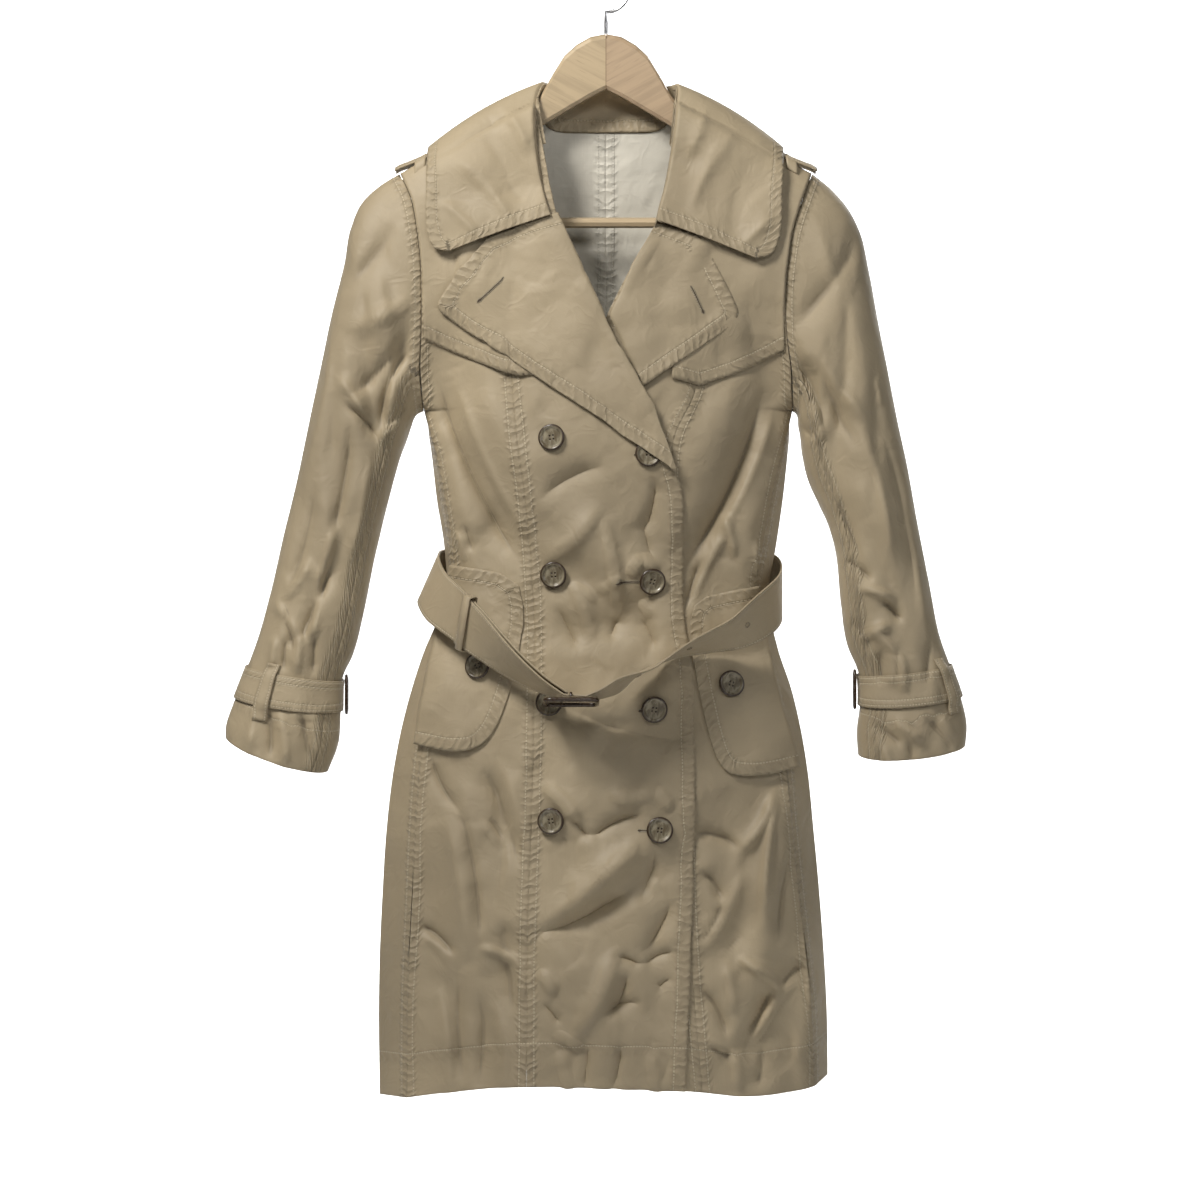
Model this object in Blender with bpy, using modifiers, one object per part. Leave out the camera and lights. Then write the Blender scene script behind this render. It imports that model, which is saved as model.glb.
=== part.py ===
"""Double-breasted trench coat hanging on a wooden hanger.

Millimetres inside the tables and functions, metres in the meshes. The origin is the inner
top of the hanger's hook. The coat's front faces -Y, +X is the wearer's left and +Z is up.
Heights are given as a drop: the distance below the origin. Right and left are the wearer's.

The body of the coat is one surface, body_point(turn, drop): turn runs from -1 at the
wearer's right side over 0 at the front to +1 at the left side, and on over 2 at the centre
back to 3, which is the right side again. Every panel is a patch of it between two seams.
"""

import math

import bmesh
import bpy
import numpy as np
from mathutils import Matrix, Vector

NAME = "trench_coat_on_wooden_hanger"
MM = 0.001

# Driving dimensions, mm
WALL = 1.2  # thickness of a cloth wall
PITCH = 1.8  # from one layer of cloth to the next one on it
SEAM = 0.3  # gap where two pieces meet
OVERLAP_LIFT = 2.6  # how far the over front lies off the under front

RIDGE_DROP = 121.0  # shoulder seam at the neck
RIDGE_SLOPE = 0.56  # fall of the shoulder seam for each mm outward
NECK_HALF = 65.0  # half width of the neck
SHOULDER_HALF = 186.0  # half width at the sleeve heads
RIDGE_ROLL = 9.0  # radius with which the cloth rolls over the hanger
SHOULDER_DROP = 188.0
ARMPIT_DROP = 401.0
HEM_DROP = 1012.0
PRINCESS_TOP = 140.0  # where the princess seams meet the shoulder seams
ARMHOLE_BULGE = 34.0  # half depth of the armhole

BUTTON_RADIUS = 12.0
BUTTON_THICK = 3.2
BELT_WIDTH = 46.0
BAR_HALF = 190.0  # the hanger's bar: half length, height and radius
BAR_DROP = 231.0
BAR_RADIUS = 4.75

UPPER_ROWS = 8  # rows from the shoulder to the armpit, as many as in half an armhole
LOWER_ROWS = (427, 455, 490, 528, 566, 604, 645, 690, 740, 795, 850, 905, 960, HEM_DROP)

# Colours: linear red, green and blue
KHAKI = (0.43, 0.34, 0.22)
BEECH = (0.72, 0.52, 0.32)
HORN = (0.12, 0.07, 0.04)
STEEL = (0.62, 0.62, 0.64)


def table(columns, rows):
    """A short table as one array for each of its named columns."""
    return {name: np.array(values, float) for name, values in zip(columns.split(), zip(*rows))}


# Silhouette and depth of the body below the armpits
BODY = table("drop right left front back", (
    (401, -164.0, 168.0, 58, 50),
    (438, -157.5, 164.0, 58, 50),
    (483, -152.0, 159.0, 55, 48),
    (524, -145.5, 153.0, 51, 45),
    (560, -144.0, 147.0, 50, 44),
    (592, -152.0, 149.0, 53, 48),
    (618, -163.0, 155.0, 57, 53),
    (654, -175.0, 167.0, 61, 58),
    (690, -184.5, 175.5, 64, 62),
    (726, -191.5, 181.5, 66, 65),
    (780, -198.0, 187.0, 69, 68),
    (834, -201.5, 192.0, 71, 70),
    (888, -204.0, 196.0, 73, 72),
    (942, -205.0, 199.0, 75, 74),
    (1024, -204.0, 200.0, 76, 75),
))

# Armhole seam, seen from the front
ARMHOLE = table("drop right left", (
    (188, -186.0, 186.0),
    (207, -177.0, 179.0),
    (238, -170.5, 169.0),
    (268, -167.0, 164.0),
    (300, -166.0, 161.5),
    (334, -166.5, 163.0),
    (366, -167.5, 167.0),
    (401, -164.0, 168.0),
))

# How far the side seams lie in from the silhouette, on the front
SIDE_SEAM = table("drop right left", (
    (401, 0.0, 0.0),
    (430, 3.0, 4.0),
    (476, 7.0, 10.0),
    (540, 7.0, 12.0),
    (603, 10.0, 14.0),
    (713, 23.0, 19.0),
    (825, 27.5, 19.0),
    (940, 26.5, 14.0),
    (1024, 25.0, 12.0),
))

# Princess seams and the free front edges, x by drop
PRINCESS = table("drop right left", (
    (140, -104.0, 104.0),
    (250, -95.0, 94.0),
    (350, -86.5, 85.0),
    (388, -83.5, 79.0),
    (425, -80.0, 62.0),
    (480, -73.0, 57.0),
    (573, -65.0, 61.0),
    (717, -65.0, 70.0),
    (879, -70.0, 75.0),
    (1012, -71.0, 86.0),
))
OVER_EDGE = table("drop x", (
    (121, -65.0),
    (162, -57.0),
    (205, -49.0),
    (229, -44.0),
    (272, -23.0),
    (317, -2.0),
    (366, 24.0),
    (403, 44.0),
    (440, 57.0),
    (470, 66.0),
    (520, 68.0),
    (582, 68.0),
    (635, 76.0),
    (717, 78.5),
    (879, 75.0),
    (1012, 70.0),
))
UNDER_EDGE = table("drop x", (
    (121, 65.0),
    (162, 60.0),
    (205, 52.0),
    (235, 45.0),
    (274, 22.5),
    (317, 1.0),
    (380, -25.0),
    (440, -42.0),
    (500, -45.0),
    (1012, -45.0),
))

# Hem, drop by turn round the body
HEM = table("turn drop", (
    (-1.0, 1020),
    (-0.75, 1022),
    (-0.5, 1015),
    (-0.25, 1008),
    (0.0, 1009),
    (0.25, 1012),
    (0.4, 1017),
    (0.62, 1015),
    (0.8, 1010),
    (1.0, 1003),
    (1.5, 1001),
    (2.0, 1003),
    (2.5, 1008),
    (3.0, 1020),
))

# Largest folds: a line on the front or back from (x1, drop1) to (x2, drop2), its width
# across and its height, which is negative for a trough
FOLD_COLUMNS = "x1 drop1 x2 drop2 width height"
FRONT_FOLDS = table(FOLD_COLUMNS, (
    (-148, 375, -74, 545, 17, -9.0),
    (-122, 345, -56, 500, 15, 5.0),
    (158, 380, 74, 556, 17, -9.0),
    (130, 350, 68, 470, 15, 5.0),
    (-138, 450, -112, 600, 14, 6.0),
    (138, 450, 118, 590, 14, 6.0),
    (60, 775, -80, 878, 16, 6.0),
    (52, 820, -66, 862, 15, -5.5),
    (-130, 730, -112, 900, 15, 8.0),
    (-156, 790, -146, 1010, 16, -7.0),
    (-96, 830, -104, 1020, 15, -6.0),
    (158, 895, 126, 985, 15, -8.0),
    (116, 885, 162, 928, 14, 7.0),
    (156, 745, 140, 885, 15, 7.0),
    (100, 750, 118, 905, 15, -6.0),
    (-44, 500, 34, 562, 17, 5.0),
    (-56, 606, 46, 588, 15, -5.0),
    (22, 690, 0, 785, 17, 5.0),
    (-22, 875, 10, 1015, 18, 6.0),
    (46, 860, 38, 1015, 16, -5.0),
))
BACK_FOLDS = table(FOLD_COLUMNS, (
    (-150, 380, -60, 540, 17, -7.0),
    (152, 385, 62, 545, 17, -7.0),
    (-104, 420, -92, 600, 14, 5.0),
    (108, 420, 94, 600, 14, 5.0),
    (-40, 480, 44, 530, 15, 4.0),
    (-120, 620, -134, 990, 17, 7.0),
    (-62, 640, -70, 980, 16, -6.0),
    (60, 640, 74, 1000, 16, 6.0),
    (122, 620, 136, 960, 16, -6.0),
    (-20, 240, 20, 380, 16, 3.5),
    (160, 640, 166, 980, 13, 5.0),
    (-164, 660, -172, 990, 13, 5.0),
))

# Sleeves: outer and inner edge by place along the sleeve, half depth, forward shift
SLEEVE_COLUMNS = "along outer outer_drop inner inner_drop depth shift"
SLEEVES = {
    "right": table(SLEEVE_COLUMNS, (
        (0.00, -186, 188, -164, 401, 34, 0),
        (0.035, -204, 199, -169, 403, 38, 0),
        (0.07, -220, 214, -172, 405, 41, 0),
        (0.11, -230, 236, -175, 409, 43, 0),
        (0.17, -236, 268, -178, 417, 45, 1),
        (0.25, -247, 312, -182, 429, 46, 2),
        (0.34, -256, 355, -188, 445, 45, 2),
        (0.44, -268, 412, -196, 474, 43, 1),
        (0.54, -279, 465, -204, 506, 41, 0),
        (0.64, -291, 515, -212, 541, 39, -2),
        (0.74, -302, 564, -220, 582, 37, -4),
        (0.83, -314, 608, -230, 622, 35, -7),
        (0.885, -323, 633, -240, 646, 32, -9),
        (0.925, -333, 659, -241, 671, 34, -10),
        (0.965, -342, 684, -243, 702, 37, -11),
        (1.00, -343, 696, -252, 726, 38, -11),
    )),
    "left": table(SLEEVE_COLUMNS, (
        (0.00, 186, 188, 168, 401, 34, 0),
        (0.035, 203, 202, 172, 404, 38, 0),
        (0.07, 218, 219, 174, 408, 41, 0),
        (0.11, 229, 240, 175, 414, 43, 0),
        (0.17, 237, 274, 177, 424, 45, 1),
        (0.25, 246, 323, 179, 441, 46, 2),
        (0.34, 254, 363, 184, 463, 45, 2),
        (0.44, 263, 410, 194, 486, 43, 1),
        (0.54, 272, 452, 203, 506, 41, 0),
        (0.64, 281, 503, 210, 534, 39, -2),
        (0.74, 292, 560, 214, 577, 37, -4),
        (0.83, 301, 606, 220, 615, 35, -7),
        (0.885, 310, 632, 230, 641, 32, -9),
        (0.925, 319, 658, 231, 666, 34, -10),
        (0.965, 325, 684, 228, 692, 37, -11),
        (1.00, 324, 703, 229, 712, 38, -11),
    )),
}
SLEEVE_RINGS = (0, 0.03, 0.07, 0.12, 0.18, 0.25, 0.33, 0.41, 0.49, 0.57, 0.65, 0.73, 0.8,
                0.86, 0.905, 0.95, 1.0)
CUFF_DIP = 9.0  # how much lower a cuff's front is than its back, half of it

# Folds of a sleeve: from (along1, around1) to (along2, around2) in turns of a half circle
SLEEVE_FOLDS = table("along1 around1 along2 around2 width height", (
    (0.10, 0.30, 0.42, 0.72, 0.055, -5.0),
    (0.06, 0.52, 0.34, 0.86, 0.05, 4.0),
    (0.30, 0.22, 0.56, 0.50, 0.05, -4.0),
    (0.48, 0.70, 0.62, 0.30, 0.05, 4.0),
    (0.60, 0.62, 0.78, 0.42, 0.05, -4.0),
    (0.92, 0.30, 1.00, 0.34, 0.06, 3.0),
    (0.12, -0.35, 0.46, -0.75, 0.06, -5.0),
    (0.46, -0.66, 0.66, -0.3, 0.05, 4.5),
))

# Collar fall: the roll line at the neck and the rim, from the right notch round the back
COLLAR = table("roll_x roll_y roll_drop rim_x rim_y rim_drop lift", (
    (-50, -47, 227, -148, -44, 261, 2),
    (-54, -44, 216, -157, -42, 253, 2),
    (-60, -36, 192, -161, -39, 234, 4),
    (-65, -27, 158, -162, -31, 204, 9),
    (-66, -14, 122, -162, -24, 180, 18),
    (-60, 0, 104, -160, 0, 161.5, 12),
    (-48, 20, 104, -150, 34, 180, 12),
    (-26, 32, 107, -90, 56, 190, 12),
    (3, 36, 108, 3, 64, 193, 12),
    (32, 32, 107, 96, 56, 190, 12),
    (56, 20, 105, 152, 34, 182, 12),
    (67, 0, 106, 160, 0, 162, 12),
    (66, -14, 126, 160, -24, 179.5, 18),
    (62, -27, 160, 158.5, -31, 206, 9),
    (55, -36, 196, 157, -38, 228, 4),
    (49, -44, 218, 152, -42, 251, 2),
    (46, -47, 232, 130, -45, 265, 2),
))
COLLAR_LAYER = 5.0  # layers of cloth between the body and the collar

# The belt's centre line from the buckle's bar round the right side, the back and the left
# side to the buckle again, with the lean of its width out of the vertical, in degrees, and
# how far its upper edge tips towards +X
BELT = table("x y drop lean tip", (
    (-33.6, -98.5, 656.5, 84, 0),
    (-56, -94.5, 645, 72, 0),
    (-82, -85, 627, 52, 0),
    (-111, -73, 603, 26, 0.1),
    (-134, -54, 585, 8, 0.25),
    (-153, -29, 569, 0, 0.4),
    (-160, -3, 553, 0, 0.45),
    (-151, 22, 549, 0, 0.3),
    (-118, 32, 547, 0, 0.05),
    (-60, 47, 545, 0, 0),
    (0, 50, 544, 0, 0),
    (60, 47, 545, 0, 0),
    (118, 32, 548, 0, 0),
    (149, 18, 553, 0, 0),
    (158, -2, 563, 0, 0),
    (154, -27, 575, 0, 0),
    (136, -50, 589, 4, 0),
    (108, -66, 603, 22, 0),
    (68, -81, 617, 45, 0),
    (30, -93, 638, 62, 0),
    (0, -99.5, 653.5, 77, 0),
    (-18, -102, 659.5, 84, 0),
))
BELT_LAYER = 3.4  # from the belt's lower layer to the one that comes out of the buckle
TONGUE_END = 3.75  # where on the lower layer the belt's free end stops
BELT_THICK = 1.6
BUCKLE_AT = (-31.0, -100.4, 659.6)
BUCKLE_LEAN = 84.0
BUCKLE_HALF_LONG = 23.0
BUCKLE_HALF_WIDE = 27.0
BUCKLE_WIRE = 2.1

# Buttons, and how far the inner face of the cloth under each lies off the body's surface
BUTTONS = table("x drop lift", (
    (-47.7, 428, OVERLAP_LIFT),
    (38, 442, OVERLAP_LIFT),
    (-46, 550, OVERLAP_LIFT + 0.3),
    (40, 556, OVERLAP_LIFT),
    (-51, 665, OVERLAP_LIFT),
    (42, 670, OVERLAP_LIFT),
    (-47.7, 770, OVERLAP_LIFT),
    (47, 779, OVERLAP_LIFT),
    (-113, 633, 3.1),
    (110.7, 649, 3.0),
))

# The loop over each epaulette, from back to front: its height over the shoulder seam's line
EPAULETTE_LOOP = table("y rise", (
    (18.4, -8.0),
    (18.0, -2.0),
    (15.8, 2.4),
    (9, 5.4),
    (3, 6.8),
    (-3, 6.8),
    (-9, 5.4),
    (-15.8, 2.4),
    (-18.6, -2.0),
    (-19.4, -8.0),
))


def smooth(places, values, at):
    """A smooth curve through the given values, read at any places along it."""
    step = np.diff(places)
    slope = np.diff(values) / step
    tangent = np.concatenate(([slope[0]], np.zeros(len(step) - 1), [slope[-1]]))
    tangent[1:-1] = (slope[:-1] * step[1:] + slope[1:] * step[:-1]) / (step[:-1] + step[1:])
    at = np.clip(np.asarray(at, float), places[0], places[-1])
    cell = np.clip(np.searchsorted(places, at) - 1, 0, len(step) - 1)
    width = step[cell]
    part = (at - places[cell]) / width
    start = (1 + 2 * part) * (1 - part) ** 2 * values[cell]
    end = part**2 * (3 - 2 * part) * values[cell + 1]
    leave = part * (1 - part) ** 2 * width * tangent[cell]
    arrive = part**2 * (part - 1) * width * tangent[cell + 1]
    return start + end + leave + arrive


def ease(value, start, end):
    """0 before start, 1 after end and a soft step between them."""
    part = np.clip((np.asarray(value, float) - start) / (end - start), 0, 1)
    return part**2 * (3 - 2 * part)


def mix(first, last, part):
    return first + (last - first) * part


def fold_height(folds, across, along, names=("x1", "drop1", "x2", "drop2")):
    """Sum of the folds at a place: soft ridges and troughs that fade at both ends."""
    total = np.zeros(np.broadcast(across, along).shape)
    for index in range(len(folds["height"])):
        x1, y1, x2, y2 = (folds[name][index] for name in names)
        run_x, run_y = x2 - x1, y2 - y1
        length = math.hypot(run_x, run_y)
        part = ((across - x1) * run_x + (along - y1) * run_y) / length**2
        off = ((across - x1) * run_y - (along - y1) * run_x) / length
        fade = np.sin(np.pi * np.clip(part * 0.9 + 0.05, 0, 1)) ** 0.8
        bell = np.exp(-((off / folds["width"][index]) ** 2))
        total = total + folds["height"][index] * fade * bell
    return total


# ---------------------------------------------------------------- the body of the coat


def ridge(x):
    """Drop of the shoulder seam's line at x, smooth across the neck."""
    return RIDGE_DROP + RIDGE_SLOPE * (np.sqrt(np.asarray(x, float) ** 2 + 400) - 68.0)


def edges(drop):
    """The body's right and left extent at a drop."""
    right = np.where(drop < ARMPIT_DROP, smooth(ARMHOLE["drop"], ARMHOLE["right"], drop),
                     smooth(BODY["drop"], BODY["right"], drop))
    left = np.where(drop < ARMPIT_DROP, smooth(ARMHOLE["drop"], ARMHOLE["left"], drop),
                    smooth(BODY["drop"], BODY["left"], drop))
    return right, left


def across(turn, drop):
    """Place from right (-1) to left (+1) of a turn: even above the armpit, round below."""
    roundness = ease(drop, 340, 430)
    there_and_back = np.where(turn <= 1, turn, 2 - turn)
    return mix(there_and_back, np.sin(turn * np.pi / 2), roundness)


def turn_at(x, drop):
    """The turn on the front where the body has a given x."""
    right, left = edges(drop)
    wanted = np.clip((2 * x - right - left) / (left - right), -1, 1)
    low, high = np.full_like(wanted, -1.0), np.full_like(wanted, 1.0)
    for _ in range(40):
        middle = (low + high) / 2
        past = across(middle, drop) > wanted
        high = np.where(past, middle, high)
        low = np.where(past, low, middle)
    return (low + high) / 2


def body_base(turn, drop):
    """Point of the body's surface, its cloth's inner face."""
    turn = np.asarray(turn, float)
    drop = np.asarray(drop, float)
    right, left = edges(drop)
    place = across(turn, drop)
    x = mix(right, left, (1 + place) / 2)
    front = turn <= 1
    top = ridge(x)
    below = np.maximum(drop - top, 0)
    part = np.clip(below / (ARMPIT_DROP - top), 0, 1)
    roll = 1 - np.clip(below / RIDGE_ROLL, 0, 1)
    edge_depth = 2 * ARMHOLE_BULGE * np.sqrt(part * (1 - part))
    level = np.where(front, smooth(BODY["drop"], BODY["front"], drop),
                     smooth(BODY["drop"], BODY["back"], drop))
    depth = RIDGE_ROLL * np.sqrt(1 - roll**2) + (level - RIDGE_ROLL) * part**0.6
    roundness = ease(drop, 350, 430)
    profile = np.maximum(1 - np.abs(place) ** 2.2, 0) ** (1 - 0.5 * roundness)
    belted = 1 - 0.85 * np.exp(-(((drop - 548) / 45) ** 2)) * (1 - front)
    fade = ease(below, 20, 120) * np.minimum(profile * 2.5, 1) * belted
    crease = np.where(front, fold_height(FRONT_FOLDS, x, drop), fold_height(BACK_FOLDS, x, drop))
    y = mix(edge_depth, depth, profile) + crease * fade
    return np.stack([x, np.where(front, -y, y), drop], axis=-1)


def body_point(turn, drop, lift=0.0):
    """Point on the body's surface, moved out by lift along the surface's normal."""
    base = body_base(turn, drop)
    if np.all(np.asarray(lift) == 0):
        return base
    turn = np.asarray(turn, float)
    drop = np.asarray(drop, float)
    side = np.where(turn > 0.995, -0.004, 0.004)
    run = (body_base(turn + side, drop) - base) * np.sign(side)[..., None]
    fall = body_base(turn, drop + 1.0) - base
    normal = np.cross(run, fall)
    normal /= np.maximum(np.linalg.norm(normal, axis=-1, keepdims=True), 1e-9)
    return base + normal * np.asarray(lift)[..., None]


def front_point(x, drop, lift):
    """Point of the front by its x, moved out by lift."""
    x, drop = np.broadcast_arrays(np.asarray(x, float), np.asarray(drop, float))
    return body_point(turn_at(x, drop), drop, np.broadcast_to(lift, x.shape))


def hem(turn):
    return smooth(HEM["turn"], HEM["drop"], turn)


def row_parts():
    """Part of the way from shoulder to armpit of each upper row."""
    return (1 - np.cos(np.pi * np.arange(UPPER_ROWS + 1) / UPPER_ROWS)) / 2


def panel(left_x, right_x, left_top, right_top, columns, lift=None):
    """Grid of a front panel between two seams given as x by drop."""
    parts = np.linspace(0, 1, columns + 1)
    ends = (turn_at(left_x(left_top), left_top), turn_at(right_x(right_top), right_top))
    top_turn = mix(ends[0], ends[1], parts)
    top_drop = mix(np.full_like(parts, left_top), right_top, parts)
    for _ in range(6):
        top_drop = ridge(body_base(top_turn, top_drop)[..., 0]) + 0.01
    grid = []
    for part in row_parts():
        drop = mix(top_drop, ARMPIT_DROP, part)
        start = turn_at(left_x(drop[0]), drop[0])
        end = turn_at(right_x(drop[-1]), drop[-1])
        grid.append(np.stack([mix(start, end, parts), drop], axis=-1))
    for level in LOWER_ROWS:
        start = turn_at(left_x(level), np.float64(level))
        end = turn_at(right_x(level), np.float64(level))
        turn = mix(start, end, parts)
        shift = (hem(turn) - HEM_DROP) * ease(level, 880, HEM_DROP)
        grid.append(np.stack([turn, level + shift], axis=-1))
    grid = np.array(grid)
    lifts = 0.0 if lift is None else lift(grid)
    return body_point(grid[..., 0], grid[..., 1], lifts)


def side_seam(side):
    """x by drop of the armhole's edge and, below it, of a side seam."""
    sign = 1 if side == "right" else -1

    def x_at(drop):
        right, left = edges(np.asarray(drop, float))
        inset = smooth(SIDE_SEAM["drop"], SIDE_SEAM[side], drop)
        inset = np.where(np.asarray(drop) < ARMPIT_DROP, 0, inset)
        gap = SEAM / 2 + 0.1
        return (right if side == "right" else left) + sign * (inset + gap)

    return x_at


def seam_curve(curve, column, shift):
    """x by drop along a seam, shifted by half the gap to its neighbour."""
    return lambda drop: smooth(curve["drop"], curve[column], drop) + shift


def over_lift(grid):
    """The over front climbs on to the under front just past its princess seam."""
    x = body_base(grid[..., 0], grid[..., 1])[..., 0]
    seam = smooth(PRINCESS["drop"], PRINCESS["right"], grid[..., 1])
    return OVERLAP_LIFT * ease(x - seam, 2, 20)


def neck_drop(x):
    """Drop of the back's upper edge: the shoulder seam, and the neck between its ends."""
    dip = 27 * (1 - np.minimum(np.abs(x) / NECK_HALF, 1) ** 8)
    return np.where(np.abs(x) < NECK_HALF, RIDGE_DROP + dip, ridge(x))


def back_grid(side):
    """Grid of half the back, from its side seam on the front to the centre-back seam."""
    columns = 13
    parts = np.linspace(0, 1, columns + 1) ** 0.9
    sign = -1 if side == "right" else 1
    centre = 2.0 - sign * 0.0012
    grid = []
    x_side = side_seam(side)
    gap = SEAM / 2 + 0.1

    def from_side(turn_inside):
        """Turn on the front, seen from the back's own direction."""
        return turn_inside if side == "left" else turn_inside + 4

    # above the armpit the back's edge is the back of the armhole
    neck_part = 0.62
    reach = np.where(parts < neck_part, parts / neck_part, 1)
    shoulder_x = mix(SHOULDER_HALF - 1, NECK_HALF, reach)
    inner = np.clip((parts - neck_part) / (1 - neck_part), 0, 1)
    x_top = sign * np.where(parts < neck_part, shoulder_x, mix(NECK_HALF, 0.3, inner))
    top_drop = neck_drop(x_top) + 0.01
    for part in row_parts():
        drop = mix(top_drop, ARMPIT_DROP, part)
        edge = edges(drop[0])[0 if side == "right" else 1] - sign * gap
        x = x_top + (mix(edge, sign * 0.3, parts) - x_top) * ease(part, 0.0, 0.9)
        x[0] = edge
        turn = 2 - turn_at(x, drop)
        grid.append(np.stack([turn, drop], axis=-1))
    for level in LOWER_ROWS:
        seam_x = x_side(level) - 2 * (SEAM / 2 + 0.1) * (-sign)
        start = from_side(float(turn_at(seam_x, np.float64(level))))
        turn = mix(start, centre, parts)
        wrapped = np.where(turn > 3, turn - 4, turn)
        shift = (hem(wrapped) - HEM_DROP) * ease(level, 880, HEM_DROP)
        grid.append(np.stack([wrapped, level + shift], axis=-1))
    grid = np.array(grid)
    points = body_point(grid[..., 0], grid[..., 1])
    return points if side == "left" else points[:, ::-1]


# ------------------------------------------------------------------- patches on the front


def outline(points):
    """A run of (x, drop) points, read by its share of length."""
    run = np.array(points, float)
    lengths = np.concatenate(([0], np.cumsum(np.linalg.norm(np.diff(run, axis=0), axis=1))))
    lengths /= lengths[-1]
    return lambda part: np.stack([np.interp(part, lengths, run[:, 0]),
                                  np.interp(part, lengths, run[:, 1])], axis=-1)


def patch(top, bottom, left, right, columns, rows, bunch=1.0):
    """Grid of (x, drop) inside four outlines that meet at their corners, its rows closer
    together near the top where bunch is over 1."""
    u = np.linspace(0, 1, columns + 1)[None, :, None]
    v = (np.linspace(0, 1, rows + 1) ** bunch)[:, None, None]
    upper, lower = outline(top)(u[0, :, 0])[None], outline(bottom)(u[0, :, 0])[None]
    west, east = outline(left)(v[:, 0, 0])[:, None], outline(right)(v[:, 0, 0])[:, None]
    corners = mix(mix(upper[:, :1], upper[:, -1:], u), mix(lower[:, :1], lower[:, -1:], u), v)
    return mix(upper, lower, v) + mix(west, east, u) - corners


def lay(plan, lift):
    """A patch laid on the front, lifted off it."""
    return front_point(plan[..., 0], plan[..., 1], lift)


# ----------------------------------------------------------------------------- sleeves


def sleeve_point(side, along, around, lift=0.0):
    """Point of a sleeve: around is 0 at its outer edge, 1 at its inner edge, over the
    front when positive and over the back when negative."""
    rows = SLEEVES[side]
    along, around = np.broadcast_arrays(np.asarray(along, float), np.asarray(around, float))
    value = {name: smooth(rows["along"], rows[name], along) for name in rows if name != "along"}
    angle = around * np.pi
    inward, forward = (1 - np.cos(angle)) / 2, np.sin(angle)
    crease = fold_height(SLEEVE_FOLDS, along, around, ("along1", "around1", "along2", "around2"))
    crease = crease * ease(along, 0.0, 0.08)
    depth = value["depth"] + crease + lift
    width = value["inner"] - value["outer"]
    grow = lift * np.sign(width) * np.cos(angle)
    x = mix(value["outer"], value["inner"], inward) - grow
    drop = mix(value["outer_drop"], value["inner_drop"], inward)
    drop = drop + CUFF_DIP * forward * ease(along, 0.8, 1.0)
    y = value["shift"] - depth * forward
    flat = np.stack([x, y, drop], axis=-1)
    return flat + (armhole_point(side, angle) - first_ring(side, angle)) * (
        1 - ease(along, 0.0, 0.14))[..., None]


def first_ring(side, angle):
    """The plain oval that the armhole's true seam replaces."""
    rows = SLEEVES[side]
    inward = (1 - np.cos(angle)) / 2
    x = mix(rows["outer"][0], rows["inner"][0], inward)
    drop = mix(rows["outer_drop"][0], rows["inner_drop"][0], inward)
    return np.stack([x, -rows["depth"][0] * np.sin(angle), drop], axis=-1)


def armhole_point(side, angle):
    """The armhole's seam, on the body's edge, a gap further out."""
    drop = mix(SHOULDER_DROP, ARMPIT_DROP, (1 - np.cos(angle)) / 2)
    x = edges(drop)[0 if side == "right" else 1]
    top = ridge(x)
    part = np.clip((drop - top) / (ARMPIT_DROP - top), 0, 1)
    depth = 2 * ARMHOLE_BULGE * np.sqrt(part * (1 - part))
    out = -1 if side == "right" else 1
    gap = 2 * SEAM + WALL * ease(drop, 320, ARMPIT_DROP)
    return np.stack([x + out * gap, -np.sign(np.sin(angle)) * depth, drop], axis=-1)


def sleeve_grid(side, first, last):
    """Grid of a sleeve panel between two places round the sleeve."""
    steps = round(abs(last - first) * UPPER_ROWS)
    around = np.linspace(first, last, steps + 1)
    around[0] += 0.0022
    around[-1] -= 0.0022
    along = np.array(SLEEVE_RINGS)[:, None]
    points = sleeve_point(side, along, around[None, :])
    return points if side == "right" else points[:, ::-1]


# ------------------------------------------------------------------------ objects


def material(name, colour, roughness, metallic=0.0):
    result = bpy.data.materials.get(name) or bpy.data.materials.new(name)
    result.use_nodes = True
    shader = result.node_tree.nodes["Principled BSDF"]
    shader.inputs["Base Color"].default_value = (*colour, 1)
    shader.inputs["Roughness"].default_value = roughness
    shader.inputs["Metallic"].default_value = metallic
    return result


def world(points):
    """From x, y and drop in mm to x, y and z in metres."""
    return np.asarray(points, float) * (MM, MM, -MM)


def place(name, mesh, look):
    """Link a mesh as a named object of the coat."""
    mesh.materials.append(look)
    result = bpy.data.objects.new(name, mesh)
    bpy.data.collections[NAME].objects.link(result)
    return result


def grid_mesh(name, points, closed=False):
    """Open surface through a grid of points, or a closed band round its columns."""
    rows, columns = points.shape[:2]
    reach = columns if closed else columns - 1
    faces = []
    for row in range(rows - 1):
        for column in range(reach):
            after = (column + 1) % columns
            faces.append((row * columns + column, (row + 1) * columns + column,
                          (row + 1) * columns + after, row * columns + after))
    mesh = bpy.data.meshes.new(name)
    mesh.from_pydata(world(points).reshape(-1, 3).tolist(), [], faces)
    mesh.shade_smooth()
    return mesh


def cloth(name, points, look, thickness=WALL, closed=False):
    """A grid of points as a wall of cloth that grows outward from it."""
    result = place(name, grid_mesh(name, points, closed), look)
    wall = result.modifiers.new("Wall", "SOLIDIFY")
    wall.thickness = thickness * MM
    wall.offset = 1
    wall.use_even_offset = False
    return result


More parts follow.
